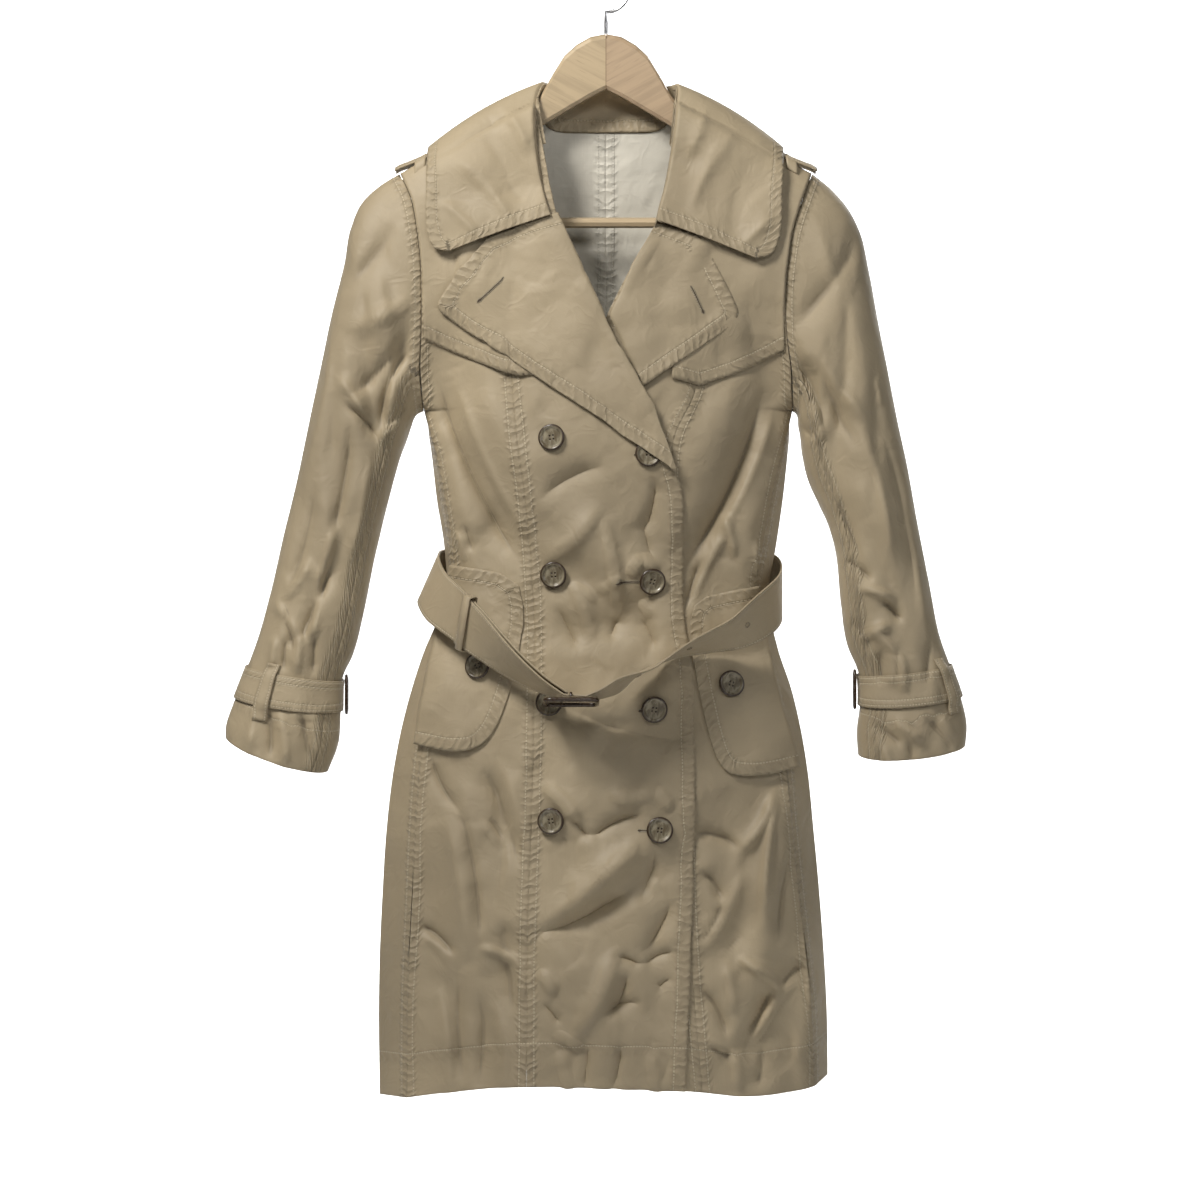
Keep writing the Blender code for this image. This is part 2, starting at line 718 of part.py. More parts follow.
def wire(name, points, radius, look, closed=False):
    """Round wire through points in mm."""
    curve = bpy.data.curves.new(name, "CURVE")
    curve.dimensions = "3D"
    curve.bevel_depth = radius * MM
    curve.bevel_resolution = 2
    curve.use_fill_caps = not closed
    spline = curve.splines.new("POLY")
    spline.points.add(len(points) - 1)
    for knot, point in zip(spline.points, world(points)):
        knot.co = (*point, 1)
    spline.use_cyclic_u = closed
    curve.materials.append(look)
    result = bpy.data.objects.new(name, curve)
    bpy.data.collections[NAME].objects.link(result)
    return result


def make_body(look):
    """Fronts, side fronts and back."""
    over_edge = seam_curve(OVER_EDGE, "x", 0)
    under_edge = seam_curve(UNDER_EDGE, "x", 0)
    half = SEAM / 2 + 0.05
    cloth("front_centre_right", panel(seam_curve(PRINCESS, "right", half), over_edge,
                                      PRINCESS_TOP, RIDGE_DROP, 8, over_lift), look)
    cloth("front_centre_left", panel(under_edge, seam_curve(PRINCESS, "left", -half),
                                     RIDGE_DROP, PRINCESS_TOP, 7), look)
    cloth("front_side_right", panel(side_seam("right"), seam_curve(PRINCESS, "right", -half),
                                    SHOULDER_DROP, PRINCESS_TOP, 7), look)
    cloth("front_side_left", panel(seam_curve(PRINCESS, "left", half), side_seam("left"),
                                   PRINCESS_TOP, SHOULDER_DROP, 7), look)
    cloth("back_right", back_grid("right"), look)
    cloth("back_left", back_grid("left"), look)


def make_sleeves(look):
    """Two panels for each sleeve: the upper one over the outer edge, the under one."""
    for side in ("right", "left"):
        cloth(f"sleeve_upper_{side}", sleeve_grid(side, -0.625, 0.75), look)
        cloth(f"sleeve_under_{side}", sleeve_grid(side, 0.75, 1.375), look)


def make_flaps(look):
    """Storm flaps, lapels and pocket flaps, each laid on what is under it."""
    armhole_right = [(float(edges(np.float64(d))[0]) + 1.2, d) for d in (192, 215, 245, 280, 310)]
    armhole_left = [(float(edges(np.float64(d))[1]) - 1.2, d) for d in (192, 215, 245, 280, 310)]
    shoulder = [(x, float(ridge(x)) + 4.0) for x in (184, 160, 130, 100, 76)]
    storm_right = patch([(-x, drop) for x, drop in shoulder],
                        [(-165, 337), (-130, 352), (-95, 366), (-74, 370)],
                        [(-184, shoulder[0][1])] + armhole_right + [(-165, 337)],
                        [(-76, shoulder[-1][1]), (-70, 230), (-72, 330), (-74, 370)], 7, 9, 1.6)
    cloth("storm_flap_right", lay(storm_right, flap_lift(storm_right, OVERLAP_LIFT)), look)
    storm_left = patch([(x, drop) for x, drop in reversed(shoulder)],
                       [(58, 374), (84, 381), (116, 370), (162, 347)],
                       [(76, shoulder[-1][1]), (70, 230), (62, 330), (58, 374)],
                       [(184, shoulder[0][1])] + armhole_left + [(162, 347)], 7, 9, 1.6)
    cloth("storm_flap_left", lay(storm_left, flap_lift(storm_left, 0.4)), look)

    lapel_right = patch([(-108, 249), (-71, 234), (-43.5, 226)],
                        [(60, 456.5), (62.5, 456.5)],
                        [(-108, 249), (-151, 303), (-152, 309), (-148, 314), (60, 456.5)],
                        [(-43.5, 226), (-2, 317), (24, 366), (44, 403), (62.5, 456.5)], 6, 12)
    cloth("lapel_right", lay(lapel_right, lapel_lift(lapel_right, OVER_EDGE, 3.7)), look)
    lapel_left = patch([(45.5, 233), (82, 246)],
                       [(33.5, 382), (110, 327)],
                       [(45.5, 233), (22.5, 274), (4, 318), (33.5, 382)],
                       [(82, 246), (88, 253), (114, 302), (116, 316), (110, 327)], 6, 8)
    cloth("lapel_left", lay(lapel_left, lapel_lift(lapel_left, UNDER_EDGE, 2.2)), look)

    pocket_right = patch([(-137, 541), (-94, 549), (-78, 560), (-74, 577)],
                         [(-170, 703), (-125, 710), (-103, 694), (-85, 650), (-77, 612)],
                         [(-137, 541), (-153, 610), (-170, 703)],
                         [(-74, 577), (-74, 595), (-77, 612)], 7, 6)
    cloth("pocket_flap_right", lay(pocket_right, pocket_lift(pocket_right)), look)
    pocket_left = patch([(75, 592), (79, 578), (90, 570), (134, 560)],
                        [(80, 640), (101, 720), (124, 732), (172, 724)],
                        [(75, 592), (75.5, 615), (80, 640)],
                        [(134, 560), (148, 640), (172, 724)], 7, 6)
    cloth("pocket_flap_left", lay(pocket_left, pocket_lift(pocket_left)), look)


def flap_lift(plan, under):
    """A storm flap lies on the front, with more room where that rolls over the shoulder."""
    below = plan[..., 1] - ridge(plan[..., 0])
    raised = under * (1 - ease(np.abs(plan[..., 0]), 88, 115))
    return PITCH + raised + 0.4 + 0.5 * (1 - ease(below, 12, 70))


def pocket_lift(plan):
    """A pocket flap lies flat at its front edge and stands off the round of the side."""
    return PITCH + 3.2 * ease(np.abs(plan[..., 0]), 95, 140)


def lapel_lift(plan, edge, layers):
    """A lapel stands higher along its roll line than over its storm flap."""
    away = np.abs(plan[..., 0] - smooth(edge["drop"], edge["x"], plan[..., 1]))
    low = ease(plan[..., 1], 380, 450)
    roll = 2.2 * np.exp(-((away - 7) / 9) ** 2) * ease(plan[..., 1], 235, 265)
    return layers * PITCH + roll + 1.2 * low


def collar_grid(steps, across_parts, inset=0.0):
    """Grid of the collar's fall from its roll line (first row) to its rim (last row)."""
    knots = np.arange(len(COLLAR["lift"]), dtype=float)
    at = np.linspace(0, knots[-1], steps + 1)
    value = {name: smooth(knots, COLLAR[name], at) for name in COLLAR}
    roll = np.stack([value["roll_x"], value["roll_y"], value["roll_drop"]], axis=-1)
    rim = np.stack([value["rim_x"], value["rim_y"], value["rim_drop"]], axis=-1)
    middle = (roll + rim) / 2 - np.stack([0 * at, 0 * at, value["lift"]], axis=-1)
    grid = []
    for part in across_parts:
        curve = (1 - part) ** 2 * roll + 2 * part * (1 - part) * middle + part**2 * rim
        grid.append(clear_of_body(curve, COLLAR_LAYER * PITCH + inset))
    return np.array(grid)


def clear_of_body(points, lift):
    """Move points out of the body's layers, to the front or to the back."""
    x, y, drop = points[..., 0], points[..., 1], points[..., 2]
    under = np.maximum(drop - ridge(x), 0)
    lift = lift + 5.0 * (1 - ease(under, 5, 60))
    front = front_point(x, np.maximum(drop, ridge(x) + 0.5), 0.0)[..., 1] - lift
    turn = 2 - turn_at(x, drop)
    back = body_base(turn, np.maximum(drop, ridge(x) + 0.5))[..., 1] + lift
    ahead = np.where((y <= 0) & (under > 3), np.minimum(y, front), y)
    behind = np.where((y > 0) & (under > 3), np.maximum(y, back), ahead)
    return np.stack([x, behind, drop], axis=-1)


def make_collar(look):
    """The fall, and the stand that joins it to the neck."""
    cloth("collar", collar_grid(30, (0, 0.1, 0.28, 0.5, 0.75, 1.0)), look)
    knots = np.arange(len(COLLAR["lift"]), dtype=float)
    right = neckline(OVER_EDGE, (162, 150, 138, 127), 1)
    left = neckline(UNDER_EDGE, (127, 138, 150, 162), -1)
    x = np.linspace(-63, 63, 11)
    neck = neck_drop(x) - 0.8
    behind = body_base(2 - turn_at(x, neck), neck) - np.array([0, 0.8, 0])
    side = np.array([[NECK_HALF - 0.1, 0.0, RIDGE_DROP - 2.8]])
    foot = np.concatenate([right, side * (-1, 1, 1), behind, side, left])
    at = np.concatenate([(2.9, 3.3, 3.7, 4.2, 5.0), np.linspace(5.5, 10.5, 11),
                         (11.0, 11.8, 12.3, 12.7, 13.1)])
    roll = np.stack([smooth(knots, COLLAR[name], at) for name in
                     ("roll_x", "roll_y", "roll_drop")], axis=-1)
    top = roll * np.array([0.962, 0.9, 1.0]) + np.array([0.0, 0.0, 2.0])
    cloth("collar_stand", np.array([top, mix(top, foot, 0.5), foot]), look)


def neckline(edge, drops, inward):
    """Places just inside a front's neck edge, where the collar's stand begins."""
    drops = np.array(drops, float)
    x = smooth(edge["drop"], edge["x"], drops)
    return front_point(x, drops, 0.0) + np.array([inward * 3.0, 0.6, -0.5])


def belt_points(at):
    """Centre, width direction and outward direction of the belt at places along it."""
    knots = np.arange(len(BELT["x"]), dtype=float)
    names = ("x", "y", "drop")
    centre = np.stack([smooth(knots, BELT[name], at) for name in names], axis=-1)
    for edge in (-BELT_WIDTH / 2, 0, BELT_WIDTH / 2):
        level = centre[:, 2] + edge
        back = body_base(2 - turn_at(centre[:, 0], level), level)[:, 1] + 3.2
        behind = (centre[:, 1] > 24) & (np.abs(centre[:, 0]) < 135)
        centre[:, 1] = np.where(behind, np.maximum(centre[:, 1], back), centre[:, 1])
    lean = np.radians(smooth(knots, BELT["lean"], at))
    wide = np.stack([smooth(knots, BELT["tip"], at), -np.sin(lean), -np.cos(lean)], axis=-1)
    wide /= np.linalg.norm(wide, axis=-1, keepdims=True)
    ahead = np.stack([smooth(knots, BELT[name], at + 0.05) - smooth(knots, BELT[name], at - 0.05)
                      for name in names], axis=-1)
    out = np.cross(ahead, wide)
    out /= np.linalg.norm(out, axis=-1, keepdims=True)
    return centre, wide, out


def strap(centre, wide, half):
    """Grid of a strap that runs to the right: its upper edge, middle and lower edge."""
    return np.array([centre + wide * half, centre, centre - wide * half])[:, ::-1]


def ring(centre, wide, out, along, half_wide, inner, outer, half_long):
    """Grid of a closed band round a strap, seen along the strap."""
    corners = ((-1, 0.15), (-0.96, 0), (0, 0), (0.96, 0), (1, 0.15), (1, 0.85), (0.96, 1),
               (0, 1), (-0.96, 1), (-1, 0.85))
    loop = [centre + wide * (share * half_wide) + out * mix(inner, outer, rise)
            for share, rise in corners]
    return np.array([loop - along * half_long, loop + along * half_long])


def make_belt(look, horn):
    """One strap from the buckle round the waist and back through it, keeper and buckle."""
    last = len(BELT["x"]) - 1
    centre, wide, out = belt_points(np.linspace(0, last, 2 * last + 1))
    over, over_wide, over_out = belt_points(np.linspace(0.1, TONGUE_END, 9))
    over = over + over_out * BELT_LAYER
    path = np.concatenate([centre, over])
    cloth("belt", strap(path, np.concatenate([wide, over_wide]), BELT_WIDTH / 2), look,
          thickness=BELT_THICK)

    hold, hold_wide, hold_out = (part[0] for part in belt_points(np.array([3.5])))
    along = np.cross(hold_wide, hold_out)
    cloth("belt_keeper", ring(hold, hold_wide, hold_out, along, BELT_WIDTH / 2 + 1.7, -1.7,
                              BELT_LAYER + BELT_THICK + 2.2, 4.0), look, 1.0, closed=True)
    make_buckle(horn)
    for side, place_turn in (("left", 1.42), ("right", 2.58)):
        make_belt_loop(side, place_turn, look)


def make_belt_loop(side, turn, look):
    """A narrow strip on the back that holds the belt up."""
    drops = np.array([506, 514, 520, 534, 548, 562, 576, 582, 590], float)
    lifts = np.array([2.0, 2.0, 7.4, 8.4, 8.8, 8.4, 7.4, 2.0, 2.0])
    turns = np.array([turn - 0.03, turn + 0.03])
    grid = body_point(np.broadcast_to(turns, (len(drops), 2)),
                      np.broadcast_to(drops[:, None], (len(drops), 2)),
                      np.broadcast_to(lifts[:, None], (len(drops), 2)))
    cloth(f"belt_loop_{side}", grid, look)


def make_buckle(look):
    """Buckle: a frame outside the strap, a bar under it and a prong on it."""
    centre = np.array(BUCKLE_AT)
    lean = math.radians(BUCKLE_LEAN)
    wide = np.array([0, -math.sin(lean), -math.cos(lean)])
    along = np.array([1.0, 0, 0])
    out = np.array([0, -math.cos(lean), math.sin(lean)])
    rise = BELT_THICK + SEAM + BUCKLE_WIRE
    frame = []
    for x_sign, w_sign, first in ((1, 1, 0), (-1, 1, 90), (-1, -1, 180), (1, -1, 270)):
        for degrees in (first, first + 45, first + 90):
            angle = math.radians(degrees)
            frame.append(centre + out * rise
                         + along * (x_sign * (BUCKLE_HALF_LONG - 6) + 6 * math.cos(angle))
                         + wide * (w_sign * (BUCKLE_HALF_WIDE - 6) + 6 * math.sin(angle)))
    wire("belt_buckle", frame, BUCKLE_WIRE, look, closed=True)
    low = -SEAM - 1.8
    reach = BUCKLE_HALF_WIDE - 0.2
    bar = [centre + wide * reach + out * (rise - BUCKLE_WIRE - SEAM - 0.4),
           centre + wide * reach + out * low,
           centre - wide * reach + out * low,
           centre - wide * reach + out * (rise - BUCKLE_WIRE - SEAM - 0.4)]
    wire("belt_buckle_bar", bar, 1.2, look)
    prong = [centre + out * (BELT_THICK + SEAM + 0.9),
             centre + out * (BELT_THICK + SEAM + 0.9)
             - along * (BUCKLE_HALF_LONG - BUCKLE_WIRE - SEAM)]
    wire("belt_buckle_prong", prong, 0.9, look)


def make_epaulettes(look):
    """A strap over each shoulder, raised off it, and the loop that holds its end."""
    for side, sign in (("right", -1), ("left", 1)):
        x = sign * np.array([190.5, 187.0, 180, 168, 150, 128, 106])
        lift = np.array([2.2, 4.0, 4.4, 4.6, 4.2, 4.2, 4.2])
        y = np.array([15, 9, 3, -3, -9, -15], float)
        if sign > 0:
            x, lift = x[::-1], lift[::-1]
        grid_x, grid_y = np.meshgrid(x, y)
        drop = ridge(grid_x) - lift[None, :] + 4.0 * (grid_y / 15) ** 2
        grid_y = grid_y * (0.6 + 0.4 * ease(np.abs(grid_x), 106, 165))
        cloth(f"epaulette_{side}", np.stack([grid_x, grid_y, drop], axis=-1), look)
        edge_x = sign * np.array([163.0, 173.0])
        loop = [[(x, y, float(ridge(x)) - rise) for y, rise in
                 zip(EPAULETTE_LOOP["y"], EPAULETTE_LOOP["rise"])] for x in edge_x]
        band = np.array(loop)
        if sign > 0:
            band = band[::-1]
        cloth(f"epaulette_loop_{side}", band, look, 1.0)


def make_cuffs(look, horn):
    """A strap round each cuff with two loops over it and a small buckle."""
    loops = {"right": (0.35, -0.5), "left": (0.22, -0.5)}
    for side in ("right", "left"):
        sign = -1 if side == "right" else 1
        around = np.linspace(-1, 1, 2 * UPPER_ROWS + 1)[:-1]
        above, middle, below = sleeve_point(side, np.array(SLEEVE_RINGS[-4:-1])[:, None],
                                            around[None, :], 2.4)
        band = np.array([mix(above, middle, 0.53), middle, mix(middle, below, 0.49)])
        cloth(f"cuff_strap_{side}", band if sign < 0 else band[:, ::-1], look, closed=True)
        for index, centre in enumerate(loops[side]):
            along = np.array([0.868, 0.875, 0.885, 0.905, 0.926, 0.936, 0.943])
            lift = np.array([2.4, 2.4, 5.2, 5.6, 5.2, 2.4, 2.4])
            width = np.array([-0.045, 0.045]) + centre
            strip = sleeve_point(side, along[:, None], width[None, :], lift[:, None])
            cloth(f"cuff_loop_{side}_{index + 1}", strip if sign < 0 else strip[:, ::-1], look)
        seat = sleeve_point(side, 0.9055, 0.985, 3.0 + WALL)
        frame = []
        for degrees in range(0, 360, 30):
            angle = math.radians(degrees)
            wave_y = 9 * np.sign(math.cos(angle)) * abs(math.cos(angle)) ** 0.5
            wave_drop = 17 * np.sign(math.sin(angle)) * abs(math.sin(angle)) ** 0.5
            frame.append(seat + np.array([-sign * 2.1, wave_y, wave_drop]))
        wire(f"cuff_buckle_{side}", frame, 1.4, horn, closed=True)


def button_mesh():
    """Turned button: a shallow dish inside a round rim, its back on the plane z = 0."""
    radius, thick = BUTTON_RADIUS * MM, BUTTON_THICK * MM
    profile = ((0.0, thick * 0.62), (radius * 0.62, thick * 0.62), (radius * 0.76, thick),
               (radius * 0.9, thick), (radius, thick * 0.7), (radius * 0.9, 0.0), (0.0, 0.0))
    build = bmesh.new()
    knots = [build.verts.new((x, 0, z)) for x, z in profile]
    for first, second in zip(knots[:-1], knots[1:]):
        build.edges.new((first, second))
    bmesh.ops.spin(build, geom=build.verts[:] + build.edges[:], cent=(0, 0, 0), axis=(0, 0, 1),
                   angle=2 * math.pi, steps=16, use_merge=True)
    bmesh.ops.remove_doubles(build, verts=build.verts, dist=1e-6)
    bmesh.ops.recalc_face_normals(build, faces=build.faces)
    mesh = bpy.data.meshes.new("button")
    build.to_mesh(mesh)
    build.free()
    mesh.shade_smooth()
    return mesh


def make_buttons(look):
    """Eight buttons in two columns on the front and one on each pocket flap."""
    mesh = button_mesh()
    mesh.materials.append(look)
    for index in range(len(BUTTONS["x"])):
        x, drop, under = (BUTTONS[name][index] for name in ("x", "drop", "lift"))
        lift = under + WALL + SEAM
        angle = np.radians(np.arange(0, 360, 30))
        reach = BUTTON_RADIUS
        middle = Vector(world(front_point(x, drop, lift)))
        rim = world(front_point(x + reach * np.cos(angle), drop - reach * np.sin(angle), lift))
        normal = Vector(rim[0] - rim[6]).cross(Vector(rim[3] - rim[9]))
        normal.normalize()
        seat = max(0, *((Vector(point) - middle).dot(normal) for point in rim))
        turned = Vector((0, 0, 1)).rotation_difference(normal).to_matrix().to_4x4()
        result = bpy.data.objects.new(f"button_{index + 1}", mesh)
        centre = middle + normal * (seat + SEAM * MM)
        result.matrix_world = Matrix.Translation(centre) @ turned
        bpy.data.collections[NAME].objects.link(result)


def make_hanger(wood, metal):
    """Two mitred arms, a trouser bar and a wire hook whose inner top is the origin."""
    for side, sign in (("right", -1), ("left", 1)):
        hanger_arm(f"hanger_arm_{side}", sign, wood)
    wire("hanger_bar", [(-BAR_HALF, 0, BAR_DROP), (BAR_HALF, 0, BAR_DROP)], BAR_RADIUS, wood)
    hook_wire(metal)


def hanger_arm(name, sign, look):
    """One arm: sections across it from the mitre at the middle to its rounded tip."""
    rows = table("x top bottom half", (
        (0.2, 60.0, 110.0, 6.5),
        (14, 62.5, 117.0, 6.5),
        (27, 70.0, 124.5, 6.5),
        (38, 80.0, 131.0, 6.5),
        (48, 96.0, 137.0, 6.5),
        (59, 115.5, 143.5, 6.5),
        (66, 124.5, 147.5, 6.5),
        (72, 129.5, 151.0, 6.5),
        (85, 135.5, 158.5, 6.5),
        (110, 149.0, 173.0, 6.5),
        (140, 165.6, 189.0, 6.5),
        (170, 182.6, 205.0, 6.5),
        (BAR_HALF + 0.3, 195.8, 214.0, 6.5),
        (BAR_HALF + 0.6, 196.0, BAR_DROP + 7.5, 6.5),
        (203, 206.0, BAR_DROP + 7.5, 6.5),
        (212, 216.0, BAR_DROP + 3.0, 5.5),
        (215, 221.0, BAR_DROP - 1.0, 4.0),
    ))
    corners = ((-1, 0.45), (-0.75, 0.15), (-0.3, 0), (0.3, 0), (0.75, 0.15), (1, 0.45),
               (1, 0.7), (0.7, 1), (-0.7, 1), (-1, 0.7))
    build = bmesh.new()
    rings = []
    for x, top, bottom, half in zip(rows["x"], rows["top"], rows["bottom"], rows["half"]):
        round_by = 11.0
        ring = []
        for share_y, share in corners:
            drop = top + round_by * share if share < 0.5 else bottom - round_by * (1 - share)
            ring.append(build.verts.new(world((sign * x, share_y * half, drop))))
        rings.append(ring)
    for first, second in zip(rings[:-1], rings[1:]):
        for index in range(len(corners)):
            after = (index + 1) % len(corners)
            build.faces.new((first[index], first[after], second[after], second[index]))
    build.faces.new(rings[0])
    build.faces.new(rings[-1])
    bmesh.ops.recalc_face_normals(build, faces=build.faces)
    mesh = bpy.data.meshes.new(name)
    build.to_mesh(mesh)
    build.free()
    mesh.set_sharp_from_angle(angle=math.radians(35))
    place(name, mesh, look)


def hook_wire(look):
    """Steel wire: a straight stem out of the wood and three quarters of a circle."""
    thick = 1.75
    radius = 21.0
    centre_drop = radius - thick
    path = [(0, 0, 59.7), (0, 0, 50.0)]
    for degrees in range(-90, 140, 12):
        angle = math.radians(degrees)
        path.append((radius * math.cos(angle), 0, centre_drop - radius * math.sin(angle)))
    wire("hanger_hook", path, thick, look)


def clear_scene():
    for item in list(bpy.data.objects):
        bpy.data.objects.remove(item, do_unlink=True)


def main():
    clear_scene()
    group = bpy.data.collections.new(NAME)
    bpy.context.scene.collection.children.link(group)
    fabric = material("khaki_cotton", KHAKI, 0.75)
    wood = material("beech", BEECH, 0.4)
    horn = material("brown_horn", HORN, 0.3)
    steel = material("steel_wire", STEEL, 0.3, 1.0)
    make_body(fabric)
    make_sleeves(fabric)
    make_flaps(fabric)
    make_collar(fabric)
    make_belt(fabric, horn)
    make_epaulettes(fabric)
    make_cuffs(fabric, horn)
    make_buttons(horn)
    make_hanger(wood, steel)


main()
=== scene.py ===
"""Double-breasted trench coat on a wooden hanger: its cloth, sewing, buttons and wood.

The tables and form functions are in mm, with heights as a drop below the origin, which is
the inner top of the hanger's hook; meshes are in metres. The front faces -Y, +X is the
wearer's left. The body is one surface, body_point(turn, drop): turn runs from -1 at the
wearer's right side over 0 at the front to +1 at the left side and over 2 at the centre back.
"""

import math

import bpy
import numpy as np
from bpy.props import FloatProperty, FloatVectorProperty, PointerProperty
from mathutils import Matrix, Vector

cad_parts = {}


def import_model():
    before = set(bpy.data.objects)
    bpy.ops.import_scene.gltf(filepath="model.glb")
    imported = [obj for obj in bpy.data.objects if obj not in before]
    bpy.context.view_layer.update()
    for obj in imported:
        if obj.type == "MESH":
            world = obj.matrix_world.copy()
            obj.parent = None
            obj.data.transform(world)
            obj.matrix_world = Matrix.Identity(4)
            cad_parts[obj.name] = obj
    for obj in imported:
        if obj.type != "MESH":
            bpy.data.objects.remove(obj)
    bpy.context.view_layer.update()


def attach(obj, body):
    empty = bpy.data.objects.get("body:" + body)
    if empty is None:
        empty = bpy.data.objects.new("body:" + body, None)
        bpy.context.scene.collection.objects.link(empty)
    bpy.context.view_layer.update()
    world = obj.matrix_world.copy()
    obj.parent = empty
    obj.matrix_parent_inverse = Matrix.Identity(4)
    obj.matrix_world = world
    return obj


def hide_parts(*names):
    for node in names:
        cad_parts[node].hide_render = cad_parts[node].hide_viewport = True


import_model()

bl_info = {
    "name": "Trench coat on a wooden hanger",
    "version": (1, 0, 0),
    "blender": (4, 5, 0),
    "location": "3D View > Sidebar > Coat",
    "description": "Builds the coat's cloth, sewing, buttons, buckles and hanger on its frame",
    "category": "Object",
}

MM = 0.001

# The coat's own sizes, mm
WALL = 1.2
THIN_WALL = 1.0
PITCH = 1.8
SEAM = 0.3
OVERLAP_LIFT = 2.6
RIDGE_DROP = 121.0
RIDGE_SLOPE = 0.56
NECK_HALF = 65.0
SHOULDER_HALF = 186.0
RIDGE_ROLL = 9.0
SHOULDER_DROP = 188.0
ARMPIT_DROP = 401.0
HEM_DROP = 1012.0
PRINCESS_TOP = 140.0
ARMHOLE_BULGE = 34.0
BUTTON_RADIUS = 12.0
BUTTON_THICK = 3.2
BELT_WIDTH = 46.0
CHEST_LENGTH = 250.0  # of cloth from the shoulder to the armpit
SWAY_DROP = 880.0  # where the hem's sway begins
SIDE_GAP = 0.05  # from a side seam to the edge of its cloth
PRINCESS_GAP = 0.02
CENTRE_BACK = 2.0  # turn of the centre-back seam
LARGE_PLATE = 52.0  # size of the flat plates that worn cloth breaks into
SMALL_PLATE = 27.0
PLATE_CRISPNESS = 6.5
SIDES = {"right": -1, "left": 1}  # each side's sign along X


def table(columns, rows):
    """A short table as one array for each of its named columns."""
    return {name: np.array(values, float) for name, values in zip(columns.split(), zip(*rows))}


# Silhouette and depth of the body below the armpits
BODY = table("drop right left front back", (
    (401, -164, 168, 58, 50),
    (438, -157.5, 164, 58, 50),
    (483, -152, 159, 55, 48),
    (524, -145.5, 153, 51, 45),
    (560, -144, 147, 50, 44),
    (592, -152, 149, 53, 48),
    (618, -163, 155, 57, 53),
    (654, -175, 167, 61, 58),
    (690, -184.5, 175.5, 64, 62),
    (726, -191.5, 181.5, 66, 65),
    (780, -198, 187, 69, 68),
    (834, -201.5, 192, 71, 70),
    (888, -204, 196, 73, 72),
    (942, -205, 199, 75, 74),
    (1024, -204, 200, 76, 75),
))

# Armhole seam, seen from the front
ARMHOLE = table("drop right left", (
    (188, -186, 186),
    (207, -177, 179),
    (238, -170.5, 169),
    (268, -167, 164),
    (300, -166, 161.5),
    (334, -166.5, 163),
    (366, -167.5, 167),
    (401, -164, 168),
))

# How far the side seams lie in from the silhouette, on the front
SIDE_SEAM = table("drop right left", (
    (401, 0, 0),
    (430, 3, 4),
    (476, 7, 10),
    (540, 7, 12),
    (603, 10, 14),
    (713, 23, 19),
    (825, 27.5, 19),
    (940, 26.5, 14),
    (1024, 25, 12),
))

# Princess seams and the free front edges, x by drop
PRINCESS = table("drop right left", (
    (140, -104, 104),
    (250, -95, 94),
    (350, -86.5, 85),
    (388, -83.5, 79),
    (425, -80, 62),
    (480, -73, 57),
    (573, -65, 61),
    (717, -65, 70),
    (879, -70, 75),
    (1012, -71, 86),
))
OVER_EDGE = table("drop x", (
    (121, -65),
    (162, -57),
    (205, -49),
    (229, -44),
    (272, -23),
    (317, -2),
    (366, 24),
    (403, 44),
    (440, 57),
    (470, 66),
    (520, 68),
    (582, 68),
    (635, 76),
    (717, 78.5),
    (879, 75),
    (1012, 70),
))
UNDER_EDGE = table("drop x", (
    (121, 65),
    (162, 60),
    (205, 52),
    (235, 45),
    (274, 22.5),
    (317, 1),
    (380, -25),
    (440, -42),
    (500, -45),
    (1012, -45),
))

# Hem, drop by turn round the body
HEM = table("turn drop", (
    (-1, 1020),
    (-0.75, 1022),
    (-0.5, 1015),
    (-0.25, 1008),
    (0, 1009),
    (0.25, 1012),
    (0.4, 1017),
    (0.62, 1015),
    (0.8, 1010),
    (1, 1003),
    (1.5, 1001),
    (2, 1003),
    (2.5, 1008),
    (3, 1020),
))

# Largest folds: a line on the front or back from (x1, drop1) to (x2, drop2), its width
# across and its height, which is negative for a trough
FOLD_COLUMNS = "x1 drop1 x2 drop2 width height"
FRONT_FOLDS = table(FOLD_COLUMNS, (
    (-148, 375, -74, 545, 17, -9),
    (-122, 345, -56, 500, 15, 5),
    (158, 380, 74, 556, 17, -9),
    (130, 350, 68, 470, 15, 5),
    (-138, 450, -112, 600, 14, 6),
    (138, 450, 118, 590, 14, 6),
    (60, 775, -80, 878, 16, 6),
    (52, 820, -66, 862, 15, -5.5),
    (-130, 730, -112, 900, 15, 8),
    (-156, 790, -146, 1010, 16, -7),
    (-96, 830, -104, 1020, 15, -6),
    (158, 895, 126, 985, 15, -8),
    (116, 885, 162, 928, 14, 7),
    (156, 745, 140, 885, 15, 7),
    (100, 750, 118, 905, 15, -6),
    (-44, 500, 34, 562, 17, 5),
    (-56, 606, 46, 588, 15, -5),
    (22, 690, 0, 785, 17, 5),
    (-22, 875, 10, 1015, 18, 6),
    (46, 860, 38, 1015, 16, -5),
))
BACK_FOLDS = table(FOLD_COLUMNS, (
    (-150, 380, -60, 540, 17, -7),
    (152, 385, 62, 545, 17, -7),
    (-104, 420, -92, 600, 14, 5),
    (108, 420, 94, 600, 14, 5),
    (-40, 480, 44, 530, 15, 4),
    (-120, 620, -134, 990, 17, 7),
    (-62, 640, -70, 980, 16, -6),
    (60, 640, 74, 1000, 16, 6),
    (122, 620, 136, 960, 16, -6),
    (-20, 240, 20, 380, 16, 3.5),
    (160, 640, 166, 980, 13, 5),
    (-164, 660, -172, 990, 13, 5),
))

